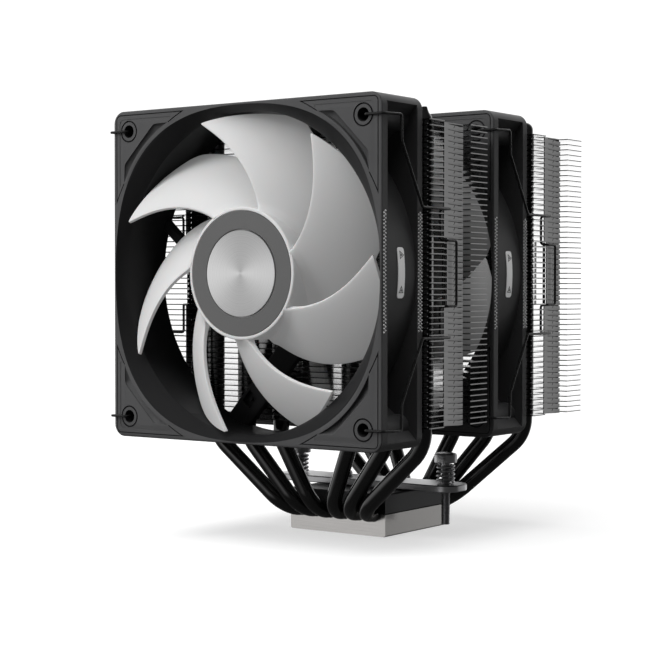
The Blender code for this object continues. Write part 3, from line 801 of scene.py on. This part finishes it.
def grip_points(side, low, columns):
    """Little pyramids in staggered columns: the grip on a flange's side."""
    parts = []
    across, step = GRIP_STEP
    for column in range(columns):
        y = low + FLANGE / 2 + (column - (columns - 1) / 2) * across
        for row in range(-GRIP_ROWS, GRIP_ROWS + 1):
            z = step * (row + 0.5 * (column % 2))
            base = [(y - 0.43, z), (y, z - 0.50), (y + 0.43, z), (y, z + 0.50)]
            points = [(side * (FRAME_HALF + lift), u, v) for lift in (-0.05, 0.02) for u, v in base]
            points.append((side * (FRAME_HALF + 0.50), y, z))
            faces = [(0, 1, 2, 3)] + [(i, (i + 1) % 4, 4 + (i + 1) % 4, 4 + i) for i in range(4)]
            faces += [(4 + i, 4 + (i + 1) % 4, 8) for i in range(4)]
            parts.append((points, faces))
    return merged(parts)


def on_duct(rings, closed=False):
    """A shape bent round the duct's right side, through pairs of an outline and its height off the duct."""
    bent = []
    for outline, level in rings:
        bent.append([(math.sqrt((DUCT_BACK + level) ** 2 - z * z), y, z) for y, z in outline])
    return loft(bent, closed=closed)


def label_plate(half_length, half_width, low, high):
    """A capsule-shaped plate that bends round the middle of the duct's side."""
    corner = 1.2
    rings = []
    for z in half_length * np.sin(np.linspace(-1.5, 1.5, 61)):
        past = max(0.0, abs(z) - (half_length - corner))
        width = half_width - corner + math.sqrt(max(0.0, corner**2 - past**2)) + 0.01
        section = rectangle(-width, width, low, high)
        rings.append([(math.sqrt((DUCT_BACK + level) ** 2 - z * z), 12.5 + y, z) for y, level in section])
    return loft(rings)


def arrow_parts(height, turn):
    """A triangle with a solid middle, standing for a printed arrow."""
    outer, inner, core = (arc(size, 90 + turn, turn - 150, 2, (12.5, height)) for size in (1.65, 1.15, 0.6))
    low, high = 0.25, 0.36
    rim = on_duct([(outer, low), (outer, high), (inner, high), (inner, low)], True)
    return [rim, on_duct([(core, low), (core, high)])]


def fan_details(fan, looks):
    """What sits on the moulding: grips on both flanges and a side plate with flow and spin arrows."""
    body = f"{fan}_fan"
    for side_name, side in SIDES.items():
        grips = merged([grip_points(side, 0.0, 2), grip_points(side, FRAME_DEPTH - FLANGE, 3)])
        put(piece(f"{fan}_fan_frame_grip_{side_name}", *grips, looks["grip"], 20), fan, body, "frame")
    plate = label_plate(8.6, 1.9, 0.02, 0.30)
    put(piece(f"{fan}_fan_side_plate", *plate, looks["label"]), fan, body, "trim")
    arrows = merged(arrow_parts(6.0, -90) + arrow_parts(-6.0, 0))
    put(piece(f"{fan}_fan_side_arrows", *arrows, looks["mark"]), fan, body, "trim")


# Rotor


def blade_edges(radius):
    """(angle in degrees behind the leading tip, depth) of the leading edge, then of the trailing one."""
    out = min(max((radius - HUB) / (BLADE_TIP - HUB), 0.0), 1.0)
    lead = LEAD_SWEEP * (1 - out) ** 1.1
    trail = TRAIL_AT_ROOT - (TRAIL_AT_ROOT - TRAIL_AT_TIP) * out**0.74
    front = BLADE_FRONT[0] + (BLADE_FRONT[1] - BLADE_FRONT[0]) * out
    back = BLADE_BACK[0] + (BLADE_BACK[1] - BLADE_BACK[0]) * out
    return (lead, front), (trail, back)


def blade_point(radius, share, phase):
    (lead, front), (trail, back) = blade_edges(radius)
    angle = math.radians(phase - lead - (trail - lead) * share)
    depth = front + (back - front) * (0.7 * share + 0.3 * share * share)
    return Vector((radius * math.cos(angle), depth, radius * math.sin(angle)))


def tip_trim(share):
    """How much the blade's outer edge is drawn in near its two corners."""
    front = max(0.0, 1 - share / 0.03)
    back = max(0.0, (share - 0.85) / 0.15)
    return 0.35 * front * front + 1.2 * back * back


def blade_part(phase):
    """One blade as a lofted section that thickens into the hub and keeps blunt, softened edges."""
    around = 30
    rings = []
    levels = [(u, 1.0) for u in np.linspace(0.0, 1.0, 34)] + [(1.0, 0.93), (1.0, 0.80)]
    for out, fullness in levels:
        ring = []
        for k in range(2 * around):
            turn = math.pi * k / around
            share = (1 - math.cos(turn)) / 2
            radius = BLADE_START + (BLADE_TIP - tip_trim(share) - BLADE_START) * out
            point = blade_point(radius, share, phase)
            along = blade_point(radius, share + 0.01, phase) - blade_point(radius, share - 0.01, phase)
            outward_step = blade_point(radius + 0.1, share, phase) - blade_point(radius - 0.1, share, phase)
            normal = along.cross(outward_step).normalized()
            root = 1 + 1.3 * math.exp(-(radius - HUB) / 1.3)
            thick = BLADE_THICKNESS * (1 - 0.12 * out) * root * fullness
            side = math.copysign(abs(math.sin(turn)) ** 0.25, math.sin(turn))
            push = outward_step.normalized() * (0.6 * (1 - fullness))
            ring.append(tuple(point + normal * (thick / 2) * side + push))
        rings.append(ring)
    return loft(rings)


def impeller_mesh(look):
    floor = HUB_FACE + 1.1
    inside = floor + 1.3
    profile = [(0, floor), (TRIM_OUTSIDE + 0.2, floor), (TRIM_OUTSIDE + 0.2, HUB_FACE + 0.1)]
    profile += [(TRIM_OUTSIDE + 0.3, HUB_FACE)]
    profile += arc(0.6, -90, 0, 5, (HUB - 0.6, HUB_FACE + 0.6))
    profile += [(HUB, 20.2), (HUB - 0.2, 20.4), (HUB - 1.1, 20.4), (HUB - 1.3, 20.2), (HUB - 1.3, inside)]
    profile += [(3.6, inside), (3.6, inside + 4.0), (1.6, inside + 4.0)]
    profile += [(1.6, inside - 0.2), (0, inside - 0.2)]
    parts = [lathe(profile, 160)]
    parts += [blade_part(BLADE_PHASE + 360 * i / BLADES) for i in range(BLADES)]
    return piece("impeller", *merged(parts), look, 40)


def trim_mesh(look):
    top = HUB_FACE + 0.15
    floor = HUB_FACE + 1.0
    profile = [(TRIM_INSIDE, floor), (TRIM_INSIDE, top + 0.12), (TRIM_INSIDE + 0.12, top)]
    profile += [(TRIM_OUTSIDE - 0.12, top), (TRIM_OUTSIDE, top + 0.12), (TRIM_OUTSIDE, floor)]
    return piece("trim", *lathe(profile, 128), look)


def disc_mesh(look):
    top = HUB_FACE - 0.1
    floor = HUB_FACE + 1.0
    profile = [(0, top + 0.03), (4.0, top + 0.02), (DISC - 0.5, top), (DISC - 0.2, top + 0.06)]
    profile += [(DISC, top + 0.3), (DISC, floor), (0, floor)]
    return piece("disc", *lathe(profile, 128), look)


# Pads, lead and clips


def pad_part(side_x, side_z):
    """A rubber corner pad with a softened edge and three ribs."""
    edge = FRAME_HALF - 1.0
    start = edge - PAD
    outline = [(edge, start)] + arc(3.6, 0, 90, 8, (edge - 3.6, edge - 3.6)) + [(start, edge)]
    outline += [(start, edge - 3.2), (edge - 6.0, edge - 3.2), (edge - 3.2, edge - 6.0), (edge - 3.2, start)]
    outlines = []
    for level, share in ((25.1, 1.0), (25.55, 1.0), (25.68, 0.985), (25.7, 0.965)):
        inset = (edge - 2.5) * (1 - share)
        smaller = [(inset + x * share, inset + z * share) for x, z in outline]
        outlines.append(([(side_x * x, side_z * z) for x, z in smaller], level))
    return layers(outlines)


def cable_parts():
    """Four thin leads side by side against the duct, tucked into the left window."""
    course = arc(DUCT_BACK + 0.85, 218, 158, 39)
    lanes = [[(x, 5.65 + 1.24 * lane, z) for x, z in course] for lane in range(4)]
    return merged([tube(path, [LEAD] * len(path), 14) for path in lanes])


def plug_part():
    """The four-way fan plug, with its keying ribs."""
    low = Vector((-59.9, 24.4))
    along = Vector((0.42, 0.91)).normalized()
    across = Vector((along.y, -along.x))

    def slab(a0, a1, c0, c1, y0, y1):
        return prism([low + along * a + across * c for a, c in rectangle(a0, a1, c0, c1)], y0, y1)

    parts = [slab(0.4, 13.6, -0.4, 3.6, 4.9, 14.2), slab(0.0, 4.5, 0.0, 3.2, 5.1, 14.0)]
    parts += [slab(5.0, 13.4, 3.5, 4.3, 6.0, 6.8), slab(5.0, 13.4, 3.5, 4.3, 9.6, 10.4)]
    parts += [slab(13.4, 14.4, 0.2, 2.9, 5.6 + 2.2 * i, 6.9 + 2.2 * i) for i in range(4)]
    return merged(parts)


def clip_path(side):
    reach = WIRE + 0.35
    beside = FRAME_HALF + reach + 0.15
    outer = FIN_HALF + reach - 0.1
    bar_y = FRAME_DEPTH + 1.0 + NOTCH[0] + 2.9
    bar_x = NOTCH_HALF + 1.3
    bump_x = TAB_HALF + reach + 0.3
    half = [
        (HOLE_AT + 1.2, 1.5, HOLE_AT),
        (HOLE_AT + 1.2, -reach, HOLE_AT),
        (beside, -reach, HOLE_AT),
        (beside + 0.15, 10.0, HOLE_AT + 0.5),
        (beside + 0.35, 10.0, 44.0),
        (outer, 19.8, 22.3),
        (outer, bar_y, 22.3),
        (bar_x, bar_y, 22.3),
        (bar_x, bar_y, 11.7),
        (bump_x, bar_y + 2.1, 11.5),
        (bump_x, bar_y + 8.3, 11.5),
    ]
    path = half + [(x, y, -z) for x, y, z in reversed(half)]
    return [(side * x, y, z) for x, y, z in path]


def clip_part(side):
    path = filleted(clip_path(side), [1.0] * 20, 6)
    return tube(path, [WIRE] * len(path), 16)


# Heat sink


def fin_outline():
    right = [
        (FIN_HALF - 0.4, 0),
        (FIN_HALF, 0.4),
        (FIN_HALF, NOTCH[0]),
        (NOTCH_HALF, NOTCH[0]),
        (NOTCH_HALF, NOTCH[1]),
        (TAB_HALF, NOTCH[1]),
        (TAB_HALF, TAB_END),
        (FIN_HALF, TAB_END),
        (FIN_HALF, FIN_DEPTH - 0.4),
        (FIN_HALF - 0.4, FIN_DEPTH),
    ]
    return right + [(-x, y) for x, y in reversed(right)]


def one_fin(row):
    """A sheet with a drawn collar round each pipe hole, at height 0; row is the pipes' depth in it."""
    places = [(side * order * PIPE_TOP_PITCH, row) for side, order in PIPES]
    hole = rectangle(0, COLLAR - 0.15, -1, 1)
    holes = piece("holes", *merged([lathe(hole, 24, "Z", place) for place in places]), None)
    sheet = cut(piece("fin", *prism(fin_outline(), 0.0, FIN_THICKNESS, "Z"), None), [holes])
    points = [tuple(v.co / MM) for v in sheet.data.vertices]
    faces = [tuple(p.vertices) for p in sheet.data.polygons]
    bpy.data.objects.remove(sheet, do_unlink=True)
    inner = PIPE + 0.06
    ring = [(inner, 0.1), (COLLAR + 0.1, 0.1), (COLLAR, 0.6), (COLLAR, COLLAR_TOP), (inner, COLLAR_TOP)]
    return merged([(points, faces)] + [lathe(ring, 24, "Z", place) for place in places])


def flange_outline(pitch, start):
    """A folded side tab seen from the side: closed in front, then a slanting hairline gap with one slit."""
    front = NOTCH[1] + 2.8
    back = TAB_END - 3.2
    slit = NOTCH[1] + 6.2
    open_top = pitch - TAB_GAP
    step = pitch - TAB_DROP - 0.34
    return [
        (start, 0.0),
        (front, 0.0),
        (back, -TAB_DROP),
        (TAB_END, -TAB_DROP),
        (TAB_END, step),
        (back, step),
        (back - 0.3, open_top - TAB_DROP),
        (slit + 1.15, open_top - 0.55 * TAB_DROP),
        (slit + 0.35, 0.36 * pitch),
        (slit, 0.36 * pitch),
        (slit + 0.75, open_top - 0.5 * TAB_DROP),
        (front, open_top),
        (front - 0.2, pitch + 0.02),
        (start, pitch + 0.02),
    ]


def side_plates(*plates):
    """Plates on both sides of a fin, each an outline seen from the side and its inner and outer reach."""
    sides = [(outline, s * inner, s * outer) for s in (1, -1) for outline, inner, outer in plates]
    return merged([prism(*plate, "X") for plate in sides])


def fin_tabs(pitch, held):
    """The tabs of one fin; those that the fan clips hold start later and have a small lip."""
    tab = flange_outline(pitch, NOTCH[1] + (1.9 if held else 0.0))
    plates = [(tab, TAB_HALF - TAB_SHEET, TAB_HALF), (rectangle(-0.2, 0.2, 0.5, 0.8), 61.0, 61.3)]
    if held:
        plates.append((rectangle(0.9, 1.9, 0.0, pitch - 0.25), FIN_HALF - 0.42, FIN_HALF - 0.05))
    return side_plates(*plates)


def tab_shade_strips(pitch, held):
    """Near-black strips of painted shade behind one fin's tabs, seen through their gaps."""
    outlines = [rectangle(NOTCH[1] + 2.9, TAB_END - 0.1, 0.3 * pitch, pitch)]
    if held:
        outlines.append(rectangle(NOTCH[1] + 0.2, NOTCH[1] + 1.6, 0.5, pitch - 0.1))
    return side_plates(*[(outline, TAB_HALF - 0.9, TAB_HALF - 0.45) for outline in outlines])


def stack_meshes(low, high, row):
    """A tower's sheets and the strips of painted shade behind their tabs; low and high are the corners of
    its box.
    """
    pitch = (high.z - low.z - FIN_THICKNESS) / (FINS - 1)
    sheet, sheet_faces = one_fin(row)
    kinds = {held: (fin_tabs(pitch, held), tab_shade_strips(pitch, held)) for held in (False, True)}
    sheets = []
    shade_strips = []
    for index in range(FINS):
        lift = np.array((0.0, low.y, low.z + pitch * index))
        sheets.append((np.asarray(sheet) + lift, sheet_faces))
        if index < FINS - 1:
            tabs, back = kinds[bool(abs(lift[2] + pitch / 2 - FAN_CENTRE) < HELD)]
            sheets.append((np.asarray(tabs[0]) + lift, tabs[1]))
            shade_strips.append((np.asarray(back[0]) + lift, back[1]))
    return merged(sheets), merged(shade_strips)


def pipe_part(side, order):
    """One pipe: crimped shut at its front end, bent down, under the base and up, and domed at the rear."""
    top = side * order * PIPE_TOP_PITCH
    base = side * (order - 0.5) * PIPE_BASE_PITCH
    half = [(top, PIPE_Y, PIPE_TOP), (top, PIPE_Y, PIPE_BEND_Z), (base, PIPE_BASE_Y, PIPE_BASE_Z)]
    corners = [(x, -y, z) for x, y, z in half] + half[::-1]
    path = filleted(corners, [14.0, 10.0, 10.0, 14.0], 18)
    up = Vector((0, 0, 1))
    crimp = [(0.0, 0.7), (0.15, 1.0), (1.2, 1.3), (2.2, 1.7), (3.6, 2.6), (4.6, 2.92), (5.6, PIPE)]
    dome = [(3.0 * (1 - math.sin(a)), max(0.4, 3.0 * math.cos(a))) for a in np.linspace(0, 1.5, 8)]
    stations = [(path[0] - up * drop, radius) for drop, radius in crimp]
    stations += [(point, PIPE) for point in path[1:-1]]
    stations += [(path[-1] - up * drop, radius) for drop, radius in dome]
    return tube(*zip(*stations), 28)


def grooved_outline(edge, split, upper):
    half = BASE_HALF
    chamfer = 0.5 if upper else -0.5
    points = [(half - 0.5, edge), (half, edge - chamfer), (half, split)]
    rise = math.degrees(math.asin(0.2 / (PIPE + 0.15)))
    for side, order in reversed(PIPES):
        centre = (side * (order - 0.5) * PIPE_BASE_PITCH, PIPE_BASE_Z)
        span = (rise, 180 - rise) if upper else (-rise, rise - 180)
        points += arc(PIPE + 0.15, span[0], span[1], 16, centre)
    return points + [(-half, split), (-half, edge - chamfer), (-half + 0.5, edge)]


def base_pieces(looks):
    half = cad_box("cold_plate")[1].y
    plate = piece("cold_plate_milled", *prism(grooved_outline(0.0, 8.3, False), -half, half), looks["plate"])
    put(plate, None, "heat_sink", "steel", "cold_plate")
    block = piece("base_block_milled", *prism(grooved_outline(16.0, 8.7, True), -half, half), looks["block"])
    holes = [lathe(rectangle(0, 1.7, 12.9, 17), 24, "Z", (x, 0)) for x in (-BAR_SCREW, BAR_SCREW)]
    cut(block, [piece("block_holes", *merged(holes), None)])
    put(block, None, "heat_sink", "block", "base_block")


def bar_piece(looks):
    low, high = cad_box("mount_bar")
    outlines = []
    for level, inset in ((low.z, 0.4), (low.z + 0.35, 0.0), (high.z - 0.35, 0.0), (high.z, 0.4)):
        outlines.append((rounded(high.x - inset, high.y - inset, 6.0 - inset, 10), level))
    bar = piece("mount_bar_plate", *layers(outlines, "Z"), looks["steel"])
    holes = []
    for side in (-1, 1):
        for x, radius in ((BAR_SCREW, 1.8), (MOUNT_SCREW, 2.5)):
            holes.append(lathe(rectangle(0, radius, 10, 25), 32, "Z", (side * x, 0)))
    cut(bar, [piece("bar_holes", *merged(holes), None)])
    put(bar, None, "heat_sink", "steel", "mount_bar")


def thread(radius, low, high, pitch):
    """A turned stand-in for a thread: shallow V rings between two heights."""
    rings = [(radius - 0.25, low)]
    for i in range(int((high - low) / pitch)):
        height = low + pitch * i
        rings += [(radius, height + 0.5 * pitch), (radius - 0.25, height + pitch)]
    return rings


def screw_piece(name, place, head, head_height, shank, body, looks):
    """A round-headed screw with a cross recess, from the tip to the top of its CAD node."""
    low, high = cad_box(name)
    tip, top = low.z, high.z
    under = top - head_height
    profile = [(0, tip)] + thread(shank, tip, under - 4.0, 0.5)
    profile += [(shank, under - 3.6), (shank, under), (head - 0.2, under), (head, under + 0.2)]
    profile += [(head, top - 0.7), (head - 0.25, top - 0.2), (head - 0.8, top), (0, top)]
    screw = piece(f"{name}_turned", *lathe(profile, 48, "Z", (place, 0)), looks["steel"], 25)
    slots = []
    for half_x, half_y in ((0.4, 0.62 * head), (0.62 * head, 0.4)):
        corners = (place - half_x, -half_y, top - 1.3), (place + half_x, half_y, top + 1)
        slots.append(piece("slot", *box(*corners), None))
    put(cut(screw, slots), None, body, "steel", name)


def spring_piece(side_name, side, looks):
    """A coil whose turns lie closer at its ends, and which the screw presses down."""
    low, high = cad_box(f"mount_spring_{side_name}")
    room = high.z - low.z
    path = []
    for t in np.linspace(0, 1, int(SPRING_TURNS * 40) + 1):
        level = low.z + SPRING_WIRE + (room - 2 * SPRING_WIRE) * (t * t * (3 - 2 * t) * 0.35 + t * 0.65)
        angle = 2 * math.pi * SPRING_TURNS * t
        path.append((side * MOUNT_SCREW + SPRING * math.cos(angle), SPRING * math.sin(angle), level))
    coil = tube(path, [SPRING_WIRE] * len(path), 12)
    spring = piece(f"mount_spring_{side_name}_coil", *coil, looks["steel"])
    put(spring, None, "heat_sink", "steel", f"mount_spring_{side_name}")
    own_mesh(spring)


def mounting(looks):
    base_pieces(looks)
    bar_piece(looks)
    for side_name, side in SIDES.items():
        screw_piece(f"mount_bar_screw_{side_name}", side * BAR_SCREW, 2.8, 1.95, 1.4, "heat_sink", looks)
        body = f"{side_name}_mount_screw"
        screw_piece(f"mount_screw_{side_name}", side * MOUNT_SCREW, 4.3, 3.6, 1.7, body, looks)
        spring_piece(side_name, side, looks)


def heat_sink(looks):
    for tower, row in (("front", -PIPE_Y), ("rear", PIPE_Y)):
        low, high = cad_box(f"{tower}_fin_stack")
        sheets, shade_strips = stack_meshes(low, high, row - low.y)
        put(piece(f"{tower}_fins", *sheets, looks["fins"]), None, "heat_sink", "fins", f"{tower}_fin_stack")
        # Painted shade: near-black strips behind the fin tabs.
        put(piece(f"{tower}_fin_shade_strips", *shade_strips, looks["fold"]), None, "heat_sink", "fins")
    for index, (side, order) in enumerate(PIPES, 1):
        pipe = piece(f"heat_pipe_{index}_bent", *pipe_part(side, order), looks["pipes"])
        put(pipe, None, "heat_sink", "pipes", f"heat_pipe_{index}")


# Assembly


def fan_place(fan):
    """The centre of a fan's front face, in metres, read from the frame."""
    low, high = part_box(f"{fan}_fan_frame")
    return Vector(((low.x + high.x) / 2, low.y, (low.z + high.z) / 2))


def put(obj, fan, body, slot, *nodes):
    """Places a piece at its fan, makes it ride on its body and stand for its CAD nodes."""
    if fan:
        obj.location = fan_place(fan)
    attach(obj, body)
    if nodes:
        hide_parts(*nodes)
    return obj


def twin(source, name):
    made = source.copy()
    made.name = name
    bpy.context.scene.collection.objects.link(made)
    return made


def fans(looks):
    """Both fans are the same model, so their pieces share meshes."""
    makers = {
        "frame_moulding": (frame_mesh(looks["frame"], looks["duct"]), "fan", "frame", "frame"),
        "impeller_moulding": (impeller_mesh(looks["blade"]), "rotor", "blade", "impeller"),
        "hub_trim": (trim_mesh(looks["trim"]), "rotor", "trim", "hub_ring"),
        "hub_face": (disc_mesh(looks["badge"]), "rotor", "badge", "hub_disc"),
        "lead": (piece("lead", *cable_parts(), looks["cable"]), "fan", "cable", "cable"),
        "lead_plug": (piece("lead_plug", *plug_part(), looks["cable"]), "fan", "cable", "plug"),
    }
    corners = {"top_left": (-1, 1), "top_right": (1, 1), "bottom_left": (-1, -1), "bottom_right": (1, -1)}
    for corner, (x, z) in corners.items():
        pad = piece(f"pad_{corner}", *pad_part(x, z), looks["rubber"])
        makers[f"corner_pad_{corner}"] = (pad, "fan", "rubber", f"pad_{corner}")
    for side_name, side in SIDES.items():
        wire = piece(f"wire_{side_name}", *clip_part(side), looks["wire"])
        makers[f"spring_clip_{side_name}"] = (wire, f"{side_name}_clip", "wire", f"clip_{side_name}")
    for label, (source, rides_on, slot, node) in makers.items():
        for fan in FANS:
            made = twin(source, f"{fan}_fan_{label}")
            put(made, fan, f"{fan}_{rides_on}", slot, f"{fan}_fan_{node}")
        bpy.data.objects.remove(source, do_unlink=True)
    for fan in FANS:
        fan_details(fan, looks)
    inner = bpy.data.objects["middle_fan_impeller_moulding"]
    inner.data = inner.data.copy()
    inner.data.materials[0] = looks["inner_blade"]


def dress_cad(looks):
    """The motor's inner parts keep their CAD shapes and take finished materials."""
    finishes = {
        "rotor_yoke": "steel",
        "shaft": "steel",
        "magnet_ring": "magnet",
        "bearing_sleeve": "bearing",
        "stator_core": "laminations",
        "winding": "winding",
        "circuit_board": "board",
    }
    for fan in FANS:
        for part, finish in finishes.items():
            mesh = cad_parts[f"{fan}_fan_{part}"].data
            mesh.materials.clear()
            mesh.materials.append(looks[finish])


# Studio


def floor_look():
    """Pale for the camera and lifted to meet the backdrop without a line, but throwing little light back."""
    look = Look("pale_floor")
    seen = look.node("ShaderNodeLightPath").outputs["Is Camera Ray"]
    mottle = look.between(look.noise(3.0, 2.0), 0.49, 0.53)
    look.base(look.maths("MULTIPLY", mottle, look.between(seen, 0.16, 1.0)))
    look.roughness(look.between(look.noise(40.0), 0.85, 0.95))
    look.set(Specular_IOR_Level=0.0)
    look.glow(look.maths("MULTIPLY", seen, FLOOR_LIFT))
    return look


def backdrop():
    """White for the camera, a dim room as a light, and two white walls that only reflections show."""
    world = bpy.data.worlds.new("studio")
    world.use_nodes = True
    world.cycles.sampling_method = "NONE"
    sky = Nodes(world.node_tree)
    way = sky.node("ShaderNodeTexCoord").outputs["Generated"]
    path = sky.node("ShaderNodeLightPath").outputs

    def facing(axis, dim, full, brightness):
        """A white wall round an axis, from nothing at dim to its brightness at full."""
        toward = sky.node("ShaderNodeVectorMath", way, axis, operation="DOT_PRODUCT").outputs["Value"]
        return sky.between(toward, 0.0, brightness, dim, full, interpolation_type="SMOOTHSTEP")

    height = facing((0.0, 0.0, 1.0), -1.0, 1.0, 1.0)
    off_level = sky.maths("ABSOLUTE", sky.maths("SUBTRACT", height, 0.5))
    level = sky.maths("SUBTRACT", 1.0, sky.maths("MULTIPLY", 3.4, off_level))
    left = sky.maths("MULTIPLY", facing(MIRROR_AXIS, 0.45, 0.95, 1.0), sky.maths("MAXIMUM", level, 0.0))
    above = facing((0.0, 0.0, 1.0), -0.5, -0.1, 1.0)
    walls = sky.maths("ADD", sky.maths("MULTIPLY", facing(VIEW_AXIS, 0.15, 0.75, 1.05), above), left)
    shown = sky.maths("MULTIPLY", walls, sky.maths("SUBTRACT", 1.0, path["Is Diffuse Ray"]))
    strength = sky.maths("MAXIMUM", path["Is Camera Ray"], sky.maths("ADD", ROOM, shown))
    background = sky.tree.nodes["Background"].inputs
    background["Color"].default_value = WHITE
    sky.link(strength, background["Strength"])
    bpy.context.scene.world = world


def lamp(name, kind, power, direction):
    """A light that shines against a direction and doesn't show in reflections."""
    light = bpy.data.lights.new(name, kind)
    light.energy = power
    made = bpy.data.objects.new(name, light)
    made.rotation_euler = direction.to_track_quat("Z", "Y").to_euler()
    made.visible_glossy = False
    bpy.context.scene.collection.objects.link(made)
    return made


def soft_box(name, place, size, power, aim=(0.0, -0.08, 0.10)):
    made = lamp(name, "AREA", power, Vector(place) - Vector(aim))
    made.location = place
    made.data.shape = "RECTANGLE"
    made.data.size, made.data.size_y = size


def soft_light(name, bearing, height, spread, strength):
    """A broad, even light; bearing runs from the front (-Y) towards the right, both angles in degrees."""
    turn = math.radians(bearing)
    rise = math.radians(height)
    flat = math.cos(rise)
    source = Vector((flat * math.sin(turn), -flat * math.cos(turn), math.sin(rise)))
    lamp(name, "SUN", strength, source).data.angle = math.radians(spread)


def studio():
    half = FLOOR_HALF
    floor = piece("floor", *box((-half, -half, -3.0), (half, half, -0.5)), floor_look().material)
    floor.visible_glossy = False
    backdrop()
    soft_box("key", (-0.16, -0.44, 0.40), (0.26, 0.26), 2.0)
    soft_light("fill", -22.0, 6.0, 50.0, 1.7)
    soft_light("top", 10.0, 78.0, 60.0, 2.6)
    soft_light("rear", 160.0, 28.0, 60.0, 1.1)
    bpy.context.scene.view_settings.view_transform = "Standard"


def camera():
    """Level with the middle of the fans, turned 36 degrees round to their right."""
    data = bpy.data.cameras.new("camera")
    data.sensor_width = 36.0
    data.lens = 93.47
    eye = bpy.data.objects.new("camera", data)
    eye.location = (0.3725, -0.5424, 0.0927)
    eye.rotation_euler = (math.radians(88.763), 0.0, math.radians(36.034))
    bpy.context.scene.collection.objects.link(eye)
    bpy.context.scene.camera = eye


looks = all_looks()
fans(looks)
heat_sink(looks)
mounting(looks)
dress_cad(looks)
studio()
camera()
